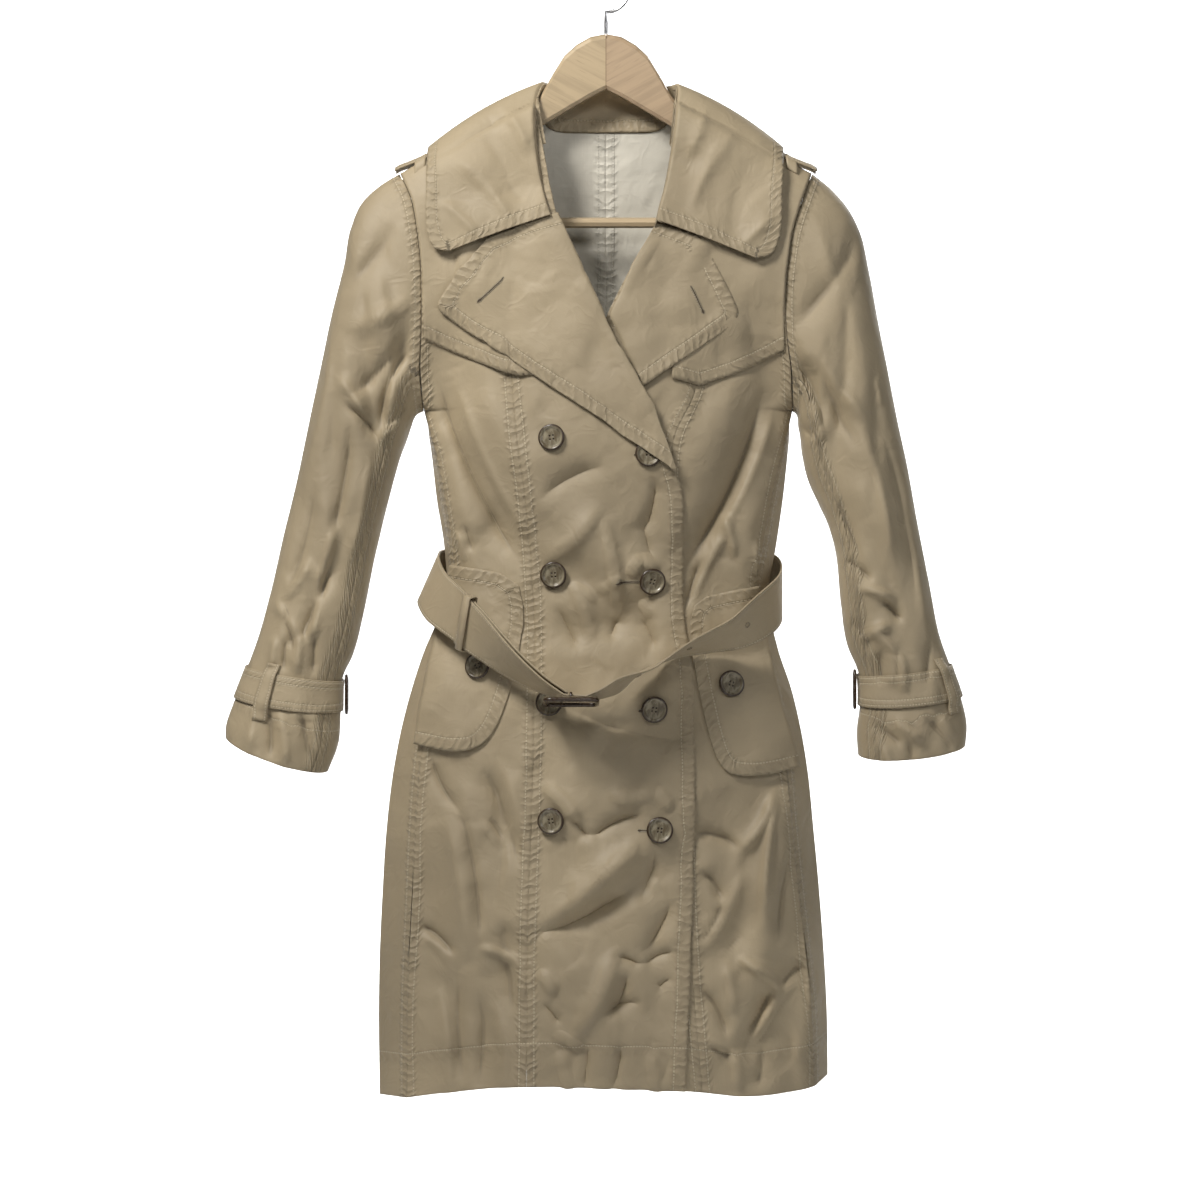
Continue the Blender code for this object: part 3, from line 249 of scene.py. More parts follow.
# Sleeves by place along them: outer and inner edge of each, half depth and forward shift
SLEEVE_COLUMNS = ("along right_outer right_outer_drop right_inner right_inner_drop left_outer "
                  "left_outer_drop left_inner left_inner_drop depth shift")
SLEEVE_ROWS = table(SLEEVE_COLUMNS, (
    (0, -186, 188, -164, 401, 186, 188, 168, 401, 34, 0),
    (0.035, -204, 199, -169, 403, 203, 202, 172, 404, 38, 0),
    (0.07, -220, 214, -172, 405, 218, 219, 174, 408, 41, 0),
    (0.11, -230, 236, -175, 409, 229, 240, 175, 414, 43, 0),
    (0.17, -236, 268, -178, 417, 237, 274, 177, 424, 45, 1),
    (0.25, -247, 312, -182, 429, 246, 323, 179, 441, 46, 2),
    (0.34, -256, 355, -188, 445, 254, 363, 184, 463, 45, 2),
    (0.44, -268, 412, -196, 474, 263, 410, 194, 486, 43, 1),
    (0.54, -279, 465, -204, 506, 272, 452, 203, 506, 41, 0),
    (0.64, -291, 515, -212, 541, 281, 503, 210, 534, 39, -2),
    (0.74, -302, 564, -220, 582, 292, 560, 214, 577, 37, -4),
    (0.83, -314, 608, -230, 622, 301, 606, 220, 615, 35, -7),
    (0.885, -323, 633, -240, 646, 310, 632, 230, 641, 32, -9),
    (0.925, -333, 659, -241, 671, 319, 658, 231, 666, 34, -10),
    (0.965, -342, 684, -243, 702, 325, 684, 228, 692, 37, -11),
    (1, -343, 696, -252, 726, 324, 703, 229, 712, 38, -11),
))
SLEEVES = {
    side: {name.replace(f"{side}_", ""): values for name, values in SLEEVE_ROWS.items()
           if name.startswith(side) or "_" not in name}
    for side in SIDES
}
SLEEVE_LENGTH = 540.0
SLEEVE_ROUND = 150.0  # cloth over half a turn of the sleeve
SLEEVE_PANELS = (("upper", -0.625, 0.75), ("under", 0.75, 1.375))  # between their two seams
SLEEVE_SEAM = 0.0003  # half the gap of a sleeve's seam, by place round the sleeve
CUFF_DIP = 9.0  # how much lower a cuff's front is than its back, half of it

# Folds of a sleeve: from (along1, around1) to (along2, around2) in turns of a half circle
SLEEVE_FOLDS = table("along1 around1 along2 around2 width height", (
    (0.10, 0.30, 0.42, 0.72, 0.055, -5),
    (0.06, 0.52, 0.34, 0.86, 0.05, 4),
    (0.30, 0.22, 0.56, 0.50, 0.05, -4),
    (0.48, 0.70, 0.62, 0.30, 0.05, 4),
    (0.60, 0.62, 0.78, 0.42, 0.05, -4),
    (0.92, 0.30, 1, 0.34, 0.06, 3),
    (0.12, -0.35, 0.46, -0.75, 0.06, -5),
    (0.46, -0.66, 0.66, -0.3, 0.05, 4.5),
))

# Collar fall: the roll line at the neck and the rim, from the right notch round the back
COLLAR = table("roll_x roll_y roll_drop rim_x rim_y rim_drop lift", (
    (-50, -47, 227, -141, -45, 259.5, 2),
    (-54, -44, 216, -155, -43, 255.5, 2),
    (-60, -36, 192, -161.5, -40, 237, 4),
    (-65, -27, 158, -162, -31, 204, 9),
    (-66, -14, 122, -162, -24, 180, 18),
    (-60, 0, 104, -160, 0, 161.5, 12),
    (-48, 20, 104, -150, 34, 180, 12),
    (-26, 32, 103, -90, 56, 190, 12),
    (3, 36, 103, 3, 64, 193, 12),
    (32, 32, 103, 96, 56, 190, 12),
    (56, 20, 105, 152, 34, 182, 12),
    (67, 0, 106, 160, 0, 162, 12),
    (66, -14, 126, 160, -24, 179.5, 18),
    (62, -27, 160, 158.5, -31, 206, 9),
    (55, -36, 196, 157.5, -40, 238, 4),
    (49, -44, 218, 150.5, -43, 260, 2),
    (46, -47, 232, 135, -46, 266, 2),
))
COLLAR_LENGTH = 560.0
COLLAR_WIDTH = 110.0
COLLAR_LAYER = 5.0  # layers of cloth between the body and the collar

# The belt's centre line from the buckle's bar round the right side, the back and the left
# side to the buckle again, with the lean of its width out of the vertical, in degrees, and
# how far its upper edge tips towards +X
BELT = table("x y drop lean tip", (
    (-33.6, -98.5, 656.5, 84, 0),
    (-56, -94.5, 645, 72, 0),
    (-82, -85, 627, 52, 0),
    (-111, -73, 603, 26, 0.1),
    (-134, -54, 585, 8, 0.25),
    (-153, -29, 569, 0, 0.4),
    (-160, -3, 553, 0, 0.45),
    (-151, 22, 549, 0, 0.3),
    (-118, 32, 547, 0, 0.05),
    (-60, 47, 545, 0, 0),
    (0, 50, 544, 0, 0),
    (60, 47, 545, 0, 0),
    (118, 32, 548, 0, 0),
    (149, 18, 553, 0, 0),
    (158, -2, 563, 0, 0),
    (154, -27, 575, 0, 0),
    (136, -50, 589, 4, 0),
    (108, -66, 603, 22, 0),
    (68, -81, 617, 45, 0),
    (30, -93, 638, 62, 0),
    (0, -99.5, 653.5, 77, 0),
    (-18, -102, 659.5, 84, 0),
))
BELT_LAYER = 3.4  # from the belt's lower layer to the one that comes out of the buckle
TONGUE_END = 3.75  # where on the lower layer the belt's free end stops
BELT_THICK = 1.6
BELT_LENGTH = 900.0
BELT_BACK_DROP = 548.0
KEEPER_PLACE = 3.5  # where on the lower layer the keeper sits
EYELETS = ((125.1, 593.7), (73.8, 614.4), (26.1, 635.1))  # x and drop
EYELET_RADIUS = 2.3
BUCKLE_AT = (-31.0, -100.4, 659.6)
BUCKLE_LEAN = 84.0
BUCKLE_HALF_LONG = 23.0
BUCKLE_HALF_WIDE = 27.0
BUCKLE_WIRE = 2.1
BUCKLE_CORNER = 6.0

# Buttons, and how far the inner face of the cloth under each lies off the body's surface
BUTTONS = table("x drop lift", (
    (-47.7, 428, OVERLAP_LIFT),
    (38, 442, OVERLAP_LIFT),
    (-46, 550, OVERLAP_LIFT + 0.3),
    (40, 556, OVERLAP_LIFT),
    (-51, 665, OVERLAP_LIFT),
    (42, 670, OVERLAP_LIFT),
    (-47.7, 770, OVERLAP_LIFT),
    (47, 779, OVERLAP_LIFT),
    (-113, 633, 3.1),
    (110.7, 649, 3),
))

# The loop over each epaulette, from back to front: its height over the shoulder seam's line
EPAULETTE_LOOP = table("y rise", (
    (18.4, -8),
    (18, -2),
    (15.8, 2.4),
    (9, 5.4),
    (3, 6.8),
    (-3, 6.8),
    (-9, 5.4),
    (-15.8, 2.4),
    (-18.6, -2),
    (-19.4, -8),
))

# How high straps and their loops stand off what they lie on
EPAULETTE_HALF = 15.0
EPAULETTE = table("x lift", (
    (106, 4.2),
    (128, 4.2),
    (150, 4.4),
    (168, 5.6),
    (180, 7.4),
    (187, 8.6),
    (190.5, 8.4),
))
BELT_LOOP_TURNS = {"left": 1.42, "right": 2.58}
BELT_LOOP = table("drop lift", (
    (506, 2),
    (514, 2),
    (520, 7.4),
    (534, 8.4),
    (548, 8.8),
    (562, 8.4),
    (576, 7.4),
    (582, 2),
    (590, 2),
))
CUFF_STRAP = (0.884, 0.927)  # its edges, by place along the sleeve
CUFF_STRAP_LIFT = 2.4
CUFF_LOOPS = {"right": (0.35, -0.5), "left": (0.22, -0.5)}  # their places round the sleeve
CUFF_LOOP = table("along lift", (
    (0.868, 2.4),
    (0.875, 2.4),
    (0.885, 5.2),
    (0.905, 5.6),
    (0.926, 5.2),
    (0.936, 2.4),
    (0.943, 2.4),
))

# Crisp creases of the fronts, each from (x1, drop1) to (x2, drop2), with its width to each
# side, its height (negative for a trough) and how far its middle bows sideways
CREASE_COLUMNS = "x1 drop1 x2 drop2 width height bend"
CREASE_STRENGTH = 1.85  # how much sharper the creases are worn than first pressed
FRONT_CREASES = table(CREASE_COLUMNS, (
    (-150, 378, -78, 538, 6, -4.5, -7),
    (-136, 368, -66, 520, 8, 3, -8),
    (-136, 510, -128, 540, 4, 2.2, 2),
    (-127, 505, -120, 530, 4, -2, 0),
    (-5, 490, -54, 538, 11, 4.5, 4),
    (-60, 484, -2, 452, 11, -4, 5),
    (44, 463, 34, 512, 8, -4, 3),
    (31, 500, 41, 538, 6, -2.5, 0),
    (20, 552, 33, 534, 4, 3.2, 1),
    (33, 534, 46, 547, 4, 2.8, -1),
    (14, 553, -6, 566, 4, 1.8, 0),
    (-34, 560, -10, 575, 5, 2, 2),
    (31, 574, 42, 588, 4, 2, 0),
    (-3, 500, 11, 590, 6, 3.4, 3),
    (11, 588, 3, 611, 5, -2.6, 0),
    (-29, 562, -13, 611, 7, 3, 3),
    (-43, 580, -24, 620, 6, -3, 0),
    (31, 590, 45, 618, 7, -3, 2),
    (140, 388, 70, 545, 6, -4.5, 8),
    (152, 396, 84, 540, 8, 3.2, 8),
    (104, 495, 116, 535, 5, 3.2, 2),
    (70, 582, 86, 536, 5, -3.4, 0),
    (77, 575, 112, 508, 5, 3.2, 3),
    (134, 520, 139, 560, 5, 2.4, 0),
    (-41, 664, 74, 700, 13, -3, -8),
    (-157, 712, -131, 762, 7, -4.6, -4),
    (-132, 756, -113, 884, 8, -5, 5),
    (-143, 770, -125, 880, 8, 3.6, 3),
    (-110, 722, -79, 814, 10, -4.4, 5),
    (-96, 716, -70, 800, 8, 3, 4),
    (-110, 772, -95, 792, 3, 1.6, 0),
    (-104, 768, -92, 786, 3, -1.4, 0),
    (-168, 865, -136, 890, 5, -3.4, 3),
    (-166, 874, -138, 898, 5, 2.6, 3),
    (-113, 884, -79, 898, 5, 3.4, 2),
    (-82, 887, -76, 935, 5, 3.2, 2),
    (-90, 893, -84, 940, 5, -2.8, 2),
    (-149, 916, -140, 1012, 8, 3.2, 3),
    (-131, 905, -127, 1005, 8, -2.8, -3),
    (-113, 924, -115, 1008, 7, -3.2, 4),
    (-97, 934, -91, 1010, 6, 2.8, 2),
    (-32, 765, -14, 788, 6, -4.2, 0),
    (-14, 788, 31, 764, 6, -4.4, 4),
    (-58, 738, -22, 776, 8, 4, 4),
    (4, 749, 45, 742, 8, 4.2, -4),
    (45, 742, 58, 760, 6, 3, 0),
    (32, 784, -60, 864, 10, 5.5, 6),
    (20, 832, -64, 873, 8, -4.2, 4),
    (44, 792, 28, 846, 8, -3.2, 3),
    (59, 842, 30, 890, 8, -4.2, 3),
    (8, 892, 31, 900, 5, -4.2, 2),
    (31, 900, 61, 886, 5, -3.4, 2),
    (8, 886, -34, 970, 10, 5.2, 5),
    (20, 905, 2, 946, 7, -3.6, 2),
    (-56, 932, -40, 952, 5, -3.2, 0),
    (-46, 960, -20, 976, 4, 2.6, 2),
    (-60, 905, -46, 924, 6, 3, 2),
    (-5, 943, 32, 932, 8, -3.6, 3),
    (-41, 976, -32, 1012, 6, 2.8, 0),
    (-14, 968, -20, 1012, 6, -2.6, 0),
    (13, 966, 5, 1012, 7, -3, 2),
    (40, 976, 45, 1012, 6, 2.6, 0),
    (44, 921, 60, 910, 5, -2.6, 0),
    (76, 781, 122, 796, 8, -4.4, 4),
    (120, 800, 152, 744, 7, 5.4, -4),
    (154, 752, 142, 866, 6, 6, -4),
    (165, 800, 154, 880, 6, -4.2, -3),
    (85, 815, 104, 844, 7, -4.6, 3),
    (104, 844, 84, 882, 7, -4.2, 3),
    (122, 815, 84, 886, 9, 5.2, 5),
    (119, 894, 156, 921, 4, 4.4, 2),
    (156, 921, 130, 970, 4, 4.8, 2),
    (148, 925, 124, 962, 5, -3.6, 2),
    (157, 921, 176, 901, 6, -4.2, 2),
    (107, 896, 113, 944, 6, 3.4, 2),
    (85, 920, 108, 967, 6, -4.4, 4),
    (89, 964, 108, 976, 3, 2.2, 0),
    (92, 972, 112, 982, 3, -2, 0),
    (116, 976, 119, 1014, 5, 3, 0),
    (140, 972, 134, 1012, 7, -2.8, 2),
    (-200, 855, -180, 876, 5, -3.2, 2),
    (-185, 796, -190, 918, 6, 3.2, 3),
    (-198, 896, -195, 990, 5, -2.8, 2),
    (183, 733, 194, 846, 5, 3, 3),
    (188, 896, 194, 990, 5, -2.8, 2),
    (176, 860, 184, 960, 5, 2.6, 2),
))
BACK_CREASES = table(CREASE_COLUMNS, (
    (-146, 372, -70, 520, 7, -4.4, -7),
    (148, 376, 66, 532, 6, -4, 8),
    (-118, 396, -52, 500, 9, 3.2, 5),
    (122, 402, 60, 490, 8, 3.4, -5),
    (-26, 250, 32, 300, 9, -2.8, 4),
    (40, 300, -20, 352, 8, 2.6, 4),
    (-90, 300, -70, 400, 8, -2.6, 4),
    (96, 296, 82, 392, 8, 2.8, 4),
    (-30, 420, 26, 452, 9, -3, 5),
    (-46, 486, 30, 512, 8, 3, -5),
    (-120, 600, -104, 760, 8, 4.6, 6),
    (-96, 610, -84, 770, 8, -4.2, 5),
    (-62, 604, -72, 800, 9, 4, -6),
    (-30, 600, -24, 742, 8, -3.4, 4),
    (24, 604, 34, 790, 9, 3.8, 6),
    (66, 610, 58, 742, 8, -4, -5),
    (100, 604, 118, 800, 8, 4.6, -6),
    (132, 620, 128, 760, 7, -3.6, 4),
    (-150, 700, -128, 812, 7, -3.8, 4),
    (-118, 800, -150, 930, 8, 4.4, 6),
    (-84, 842, -102, 990, 8, -4, -5),
    (-40, 800, -62, 900, 9, 3.8, 4),
    (-20, 900, -34, 1000, 8, -3, 3),
    (10, 820, 30, 960, 9, 3.8, 5),
    (62, 850, 50, 1000, 8, -3.6, -4),
    (96, 830, 112, 962, 8, 4.4, 5),
    (146, 800, 132, 930, 7, -4, 4),
    (150, 900, 122, 980, 6, 3.6, 3),
    (-166, 880, -140, 960, 6, 3.2, 3),
    (-10, 960, 16, 1002, 6, 2.4, 0),
))

# Crisp creases of each sleeve as they lie on its front; the back has them lower and shallower
SLEEVE_CREASES = {"right": table(CREASE_COLUMNS, (
    (-172, 338, -204, 426, 7, -6, -8),
    (-176, 356, -196, 410, 6, 3, -5),
    (-204, 430, -181, 405, 5, 4.4, 0),
    (-198, 421, -177, 394, 5, -4, 0),
    (-236, 396, -205, 430, 6, -4, 3),
    (-244, 372, -214, 412, 8, 3.2, 3),
    (-190, 212, -236, 296, 10, -4, 6),
    (-172, 292, -232, 332, 9, 3.8, 5),
    (-172, 320, -236, 394, 9, -4.4, 6),
    (-206, 226, -176, 262, 7, 3, 3),
    (-248, 330, -276, 468, 9, 4, 6),
    (-230, 412, -249, 522, 7, -4.2, 4),
    (-212, 440, -232, 540, 6, 3.2, 3),
    (-262, 470, -284, 560, 8, -3.4, 4),
    (-244, 502, -262, 566, 5, 3.4, 2),
    (-248, 538, -276, 610, 6, -3.8, 3),
    (-266, 536, -290, 574, 5, 3.2, 2),
    (-302, 572, -275, 610, 5, 3.2, 2),
    (-289, 580, -280, 620, 4, -3, 0),
    (-258, 560, -266, 612, 5, 3, 2),
    (-298, 606, -301, 633, 4, 2.8, 0),
    (-288, 606, -290, 634, 4, -2.6, 0),
    (-275, 603, -278, 636, 4, 2.8, 0),
    (-262, 600, -264, 638, 4, -2.8, 0),
    (-316, 662, -321, 700, 5, 2.4, 0),
    (-303, 664, -302, 706, 5, -2.6, 2),
    (-293, 666, -288, 714, 5, 2.8, 2),
    (-275, 663, -266, 712, 5, -2.8, 0),
    (-284, 668, -254, 673, 3, 2, 0),
    (-262, 668, -258, 718, 5, 2.6, 0),
)), "left": table(CREASE_COLUMNS, (
    (168, 346, 195, 422, 7, -6, 6),
    (172, 372, 192, 414, 5, 3.4, 3),
    (184, 400, 194, 430, 5, 4.6, 2),
    (168, 411, 192, 427, 5, -5, 0),
    (175, 328, 240, 414, 9, 4.2, -6),
    (188, 340, 226, 436, 8, -3.8, -5),
    (243, 372, 248, 398, 3, 2.2, 0),
    (175, 226, 170, 332, 7, -3.4, 3),
    (188, 212, 212, 304, 9, 3.2, 4),
    (228, 240, 175, 332, 10, -4, 6),
    (229, 418, 257, 540, 8, 3.8, 5),
    (247, 418, 279, 574, 7, -3.6, 5),
    (265, 482, 288, 610, 7, 3.4, 4),
    (206, 482, 230, 538, 5, -3.6, 2),
    (224, 563, 261, 574, 5, 3.6, 3),
    (215, 536, 239, 556, 5, -3.8, 2),
    (247, 572, 266, 592, 4, -3.4, 0),
    (229, 610, 257, 595, 5, 3.4, 2),
    (220, 590, 239, 619, 5, -3.4, 2),
    (240, 600, 262, 620, 4, 3, 0),
    (247, 616, 248, 646, 4, -2.8, 0),
    (258, 616, 257, 648, 4, 2.6, 0),
    (265, 617, 268, 652, 4, 3.2, 0),
    (292, 608, 287, 646, 5, -2.8, 0),
    (303, 600, 300, 640, 5, 2.6, 0),
    (238, 680, 266, 695, 5, -3.4, 2),
    (260, 676, 284, 691, 4, 3.2, 0),
    (287, 671, 311, 704, 5, -2.8, 2),
    (247, 693, 257, 718, 5, 2.8, 0),
    (301, 671, 315, 691, 4, 2.4, 0),
    (272, 690, 276, 722, 5, -2.4, 0),
))}


def uneven(x, y, size, seed):
    """Smooth uneven waves of about the given size, from about -0.5 to 0.5."""
    u, v = x / size + seed * 0.37, y / size + seed * 0.11
    total = 0.0
    for step_u in (0, 1):
        for step_v in (0, 1):
            corner_u, corner_v = np.floor(u) + step_u, np.floor(v) + step_v
            turn = np.sin(corner_u * 12.9898 + corner_v * 78.233 + 0.5) * 43758.5453
            angle = (turn - np.floor(turn)) * 2 * np.pi
            away_u, away_v = u - corner_u, v - corner_v
            weight = (1 - ease(np.abs(away_u), 0, 1)) * (1 - ease(np.abs(away_v), 0, 1))
            total = total + weight * (np.cos(angle) * away_u + np.sin(angle) * away_v)
    return total


def plates(x, y, size, seed):
    """Flat tilted plates with creases between them, as pressed cloth lies once it is worn."""
    u = x / size + 0.35 * uneven(x, y, size * 1.7, seed + 3.0) + seed * 0.37
    v = y / size + 0.35 * uneven(x, y, size * 1.9, seed + 8.0) + seed * 0.11
    weights, total = 1e-9, 0.0
    for step_u in (-1, 0, 1):
        for step_v in (-1, 0, 1):
            cell_u, cell_v = np.floor(u) + step_u, np.floor(v) + step_v
            first = np.sin(cell_u * 127.1 + cell_v * 311.7 + seed) * 43758.5453
            second = np.sin(cell_u * 269.5 + cell_v * 183.3 + seed) * 24634.6345
            first, second = first - np.floor(first), second - np.floor(second)
            away_u, away_v = u - (cell_u + first), v - (cell_v + second)
            weight = np.exp(-PLATE_CRISPNESS * (away_u**2 + away_v**2))
            tilt = 2 * np.pi * (first * 3.7 + second)
            plate = np.cos(tilt) * away_u + np.sin(tilt) * away_v + 0.2 * (second - 0.5)
            weights = weights + weight
            total = total + weight * plate
    return total / weights


def crumple_depth(x, drop, seed):
    """How far the worn cloth sinks below its smooth form."""
    tall = plates(x * 1.15, drop * 0.7, LARGE_PLATE, seed)
    small = plates(x + 0.5 * drop, drop * 0.8 - 0.4 * x, SMALL_PLATE, seed + 21.0)
    return 1.6 + (4.4 * tall + 1.3 * small) * (1 + 0.45 * ease(drop, 640, 800))


LINE_ENDS = ("x1", "drop1", "x2", "drop2")


def from_line(rows, index, names, x, y):
    """How far along a row's line a place lies, as a share of it, and how far beside it."""
    x1, y1, x2, y2 = (rows[name][index] for name in names)
    run_x, run_y = x2 - x1, y2 - y1
    length = math.hypot(run_x, run_y)
    part = ((x - x1) * run_x + (y - y1) * run_y) / length**2
    return part, ((x - x1) * run_y - (y - y1) * run_x) / length


def crease_height(creases, x, drop):
    """Sum of crisp creases: each is sharp along its line and fades at both ends."""
    total = np.zeros(np.broadcast(x, drop).shape)
    for index, height in enumerate(creases["height"]):
        part, off = from_line(creases, index, LINE_ENDS, x, drop)
        off = off - creases["bend"][index] * 4 * part * (1 - part)
        fade = ease(np.minimum(part, 1 - part), -0.08, 0.3)
        sharp = np.exp(-1.5 * (np.sqrt((off / creases["width"][index]) ** 2 + 0.04) - 0.2))
        total = total + CREASE_STRENGTH * height * fade * sharp
    return total


def smooth(places, values, at):
    """A smooth curve through the given values, read at any places along it."""
    step = np.diff(places)
    slope = np.diff(values) / step
    tangent = np.concatenate(([slope[0]], np.zeros(len(step) - 1), [slope[-1]]))
    tangent[1:-1] = (slope[:-1] * step[1:] + slope[1:] * step[:-1]) / (step[:-1] + step[1:])
    at = np.clip(np.asarray(at, float), places[0], places[-1])
    cell = np.clip(np.searchsorted(places, at) - 1, 0, len(step) - 1)
    width = step[cell]
    part = (at - places[cell]) / width
    start = (1 + 2 * part) * (1 - part) ** 2 * values[cell]
    end = part**2 * (3 - 2 * part) * values[cell + 1]
    leave = part * (1 - part) ** 2 * width * tangent[cell]
    arrive = part**2 * (part - 1) * width * tangent[cell + 1]
    return start + end + leave + arrive


def joined(*values):
    """Points from their coordinates."""
    return np.stack(values, axis=-1)


def read(rows, column, at, by="drop"):
    """One column of a table as a smooth curve over another."""
    return smooth(rows[by], rows[column], at)


def smooth_line(line, at):
    """A smooth curve through a run of points, read at places counted in points."""
    knots = np.arange(len(line), dtype=float)
    return np.stack([smooth(knots, values, at) for values in np.transpose(line)], axis=-1)


def along_rows(rows, columns, at):
    """A smooth curve through some columns of a table, at places counted in rows."""
    return smooth_line(np.stack([rows[name] for name in columns.split()], axis=-1), at)


def ease(value, start, end):
    """0 before start, 1 after end and a soft step between them."""
    part = np.clip((np.asarray(value, float) - start) / (end - start), 0, 1)
    return part**2 * (3 - 2 * part)


def mix(first, last, part):
    return first + (last - first) * part


def fold_height(folds, across, along, names=LINE_ENDS):
    """Sum of the folds at a place: soft ridges and troughs that fade at both ends."""
    total = np.zeros(np.broadcast(across, along).shape)
    for index, height in enumerate(folds["height"]):
        part, off = from_line(folds, index, names, across, along)
        fade = np.sin(np.pi * np.clip(part * 0.9 + 0.05, 0, 1)) ** 0.8
        total = total + height * fade * np.exp(-((off / folds["width"][index]) ** 2))
    return total


# ---- the body of the coat


def ridge(x):
    """Drop of the shoulder seam's line at x, smooth across the neck."""
    return RIDGE_DROP + RIDGE_SLOPE * (np.sqrt(np.asarray(x, float) ** 2 + 400) - 68.0)


def extent(side, drop):
    """The body's extent to one side at a drop."""
    return np.where(drop < ARMPIT_DROP, read(ARMHOLE, side, drop), read(BODY, side, drop))


def across(turn, drop):
    """Place from right (-1) to left (+1) of a turn: even above the armpit, round below."""
    roundness = ease(drop, 340, 430)
    there_and_back = np.where(turn <= 1, turn, 2 - turn)
    return mix(there_and_back, np.sin(turn * np.pi / 2), roundness)


def turn_at(x, drop):
    """The turn on the front where the body has a given x."""
    right, left = extent("right", drop), extent("left", drop)
    wanted = np.clip((2 * x - right - left) / (left - right), -1, 1)
    low, high = np.full_like(wanted, -1.0), np.full_like(wanted, 1.0)
    for _ in range(40):
        middle = (low + high) / 2
        past = across(middle, drop) > wanted
        high = np.where(past, middle, high)
        low = np.where(past, low, middle)
    return (low + high) / 2


def bulge(part):
    """Half depth of the armhole, part of the way from the shoulder to the armpit."""
    return 2 * ARMHOLE_BULGE * np.sqrt(part * (1 - part))


def body_base(turn, drop):
    """Point of the body's surface, its cloth's inner face."""
    turn = np.asarray(turn, float)
    drop = np.asarray(drop, float)
    place = across(turn, drop)
    x = mix(extent("right", drop), extent("left", drop), (1 + place) / 2)
    front = turn <= 1
    top = ridge(x)
    below = np.maximum(drop - top, 0)
    part = np.clip(below / (ARMPIT_DROP - top), 0, 1)
    roll = 1 - np.clip(below / RIDGE_ROLL, 0, 1)
    edge_depth = bulge(part) * (1 - ease(part, 0.5, 1.0) * (1 - np.abs(place) ** 10))
    level = np.where(front, read(BODY, "front", drop), read(BODY, "back", drop))
    share = below / (ARMPIT_DROP - top)
    eased = np.clip((share + 1 - np.sqrt((share - 1) ** 2 + 0.012)) / 2, 0, 1)
    depth = RIDGE_ROLL * np.sqrt(1 - roll**2) + (level - RIDGE_ROLL) * eased**0.6
    roundness = ease(drop, 350, 430)
    profile = np.maximum(1 - np.abs(place) ** 2.2, 0) ** (1 - 0.5 * roundness)
    belted = 1 - 0.85 * np.exp(-(((drop - BELT_BACK_DROP) / 45) ** 2)) * (1 - front)
    fade = ease(below, 20, 120) * np.minimum(profile * 2.5, 1) * belted
    ahead = fold_height(FRONT_FOLDS, x, drop) + crease_height(FRONT_CREASES, x, drop)
    behind = fold_height(BACK_FOLDS, x, drop) + crease_height(BACK_CREASES, x, drop)
    crease = np.where(front, ahead, behind)
    crease = crease - crumple_depth(x, drop, np.where(front, 0.0, 400.0))
    y = mix(edge_depth, depth, profile) + crease * fade
    return joined(x, np.where(front, -y, y), drop)


def body_point(turn, drop, lift=0.0):
    """Point on the body's surface, moved out by lift along the surface's normal."""
    base = body_base(turn, drop)
    if np.all(np.asarray(lift) == 0):
        return base
    turn = np.asarray(turn, float)
    drop = np.asarray(drop, float)
    side = np.where(turn > 0.995, -0.004, 0.004)
    run = (body_base(turn + side, drop) - base) * np.sign(side)[..., None]
    fall = body_base(turn, drop + 1.0) - base
    normal = np.cross(run, fall)
    normal /= np.maximum(np.linalg.norm(normal, axis=-1, keepdims=True), 1e-9)
    return base + normal * np.asarray(lift)[..., None]


def front_point(x, drop, lift):
    """Point of the front by its x, moved out by lift."""
    x, drop = np.broadcast_arrays(np.asarray(x, float), np.asarray(drop, float))
    return body_point(turn_at(x, drop), drop, np.broadcast_to(lift, x.shape))


def hem(turn):
    return read(HEM, "drop", turn, "turn")


def side_seam(side):
    """x by drop of the armhole's edge and, below it, of a side seam."""
    def x_at(drop):
        inset = np.where(np.asarray(drop) < ARMPIT_DROP, 0, read(SIDE_SEAM, side, drop))
        return extent(side, np.asarray(drop, float)) - SIDES[side] * (inset + SIDE_GAP)

    return x_at


def seam_curve(curve, column, shift):
    """x by drop along a seam, shifted by half the gap to its neighbour."""
    return lambda drop: read(curve, column, drop) + shift


def over_lift(grid):
    """The over front climbs on to the under front just past its princess seam."""
    x = body_base(grid[..., 0], grid[..., 1])[..., 0]
    return OVERLAP_LIFT * ease(x - read(PRINCESS, "right", grid[..., 1]), 2, 20)


def neck_drop(x):
    """Drop of the back's upper edge: the shoulder seam, and the neck between its ends."""
    dip = 27 * (1 - np.minimum(np.abs(x) / NECK_HALF, 1) ** 8)
    return np.where(np.abs(x) < NECK_HALF, RIDGE_DROP + dip, ridge(x))


def outline(points):
    """A run of (x, drop) points, read by its share of length."""
    run = np.array(points, float)
    lengths = np.concatenate(([0], np.cumsum(np.linalg.norm(np.diff(run, axis=0), axis=1))))
    lengths /= lengths[-1]
    return lambda part: np.stack([np.interp(part, lengths, run[:, 0]),
                                  np.interp(part, lengths, run[:, 1])], axis=-1)


def patch(top, bottom, left, right, columns, rows, bunch=1.0):
    """Grid of (x, drop) inside four outlines that meet at their corners, its rows closer
    together near the top where bunch is over 1."""
    u = np.linspace(0, 1, columns + 1)[None, :, None]
    v = (np.linspace(0, 1, rows + 1) ** bunch)[:, None, None]
    upper, lower = outline(top)(u[0, :, 0])[None], outline(bottom)(u[0, :, 0])[None]
    west, east = outline(left)(v[:, 0, 0])[:, None], outline(right)(v[:, 0, 0])[:, None]
    corners = mix(mix(upper[:, :1], upper[:, -1:], u), mix(lower[:, :1], lower[:, -1:], u), v)
    return mix(upper, lower, v) + mix(west, east, u) - corners


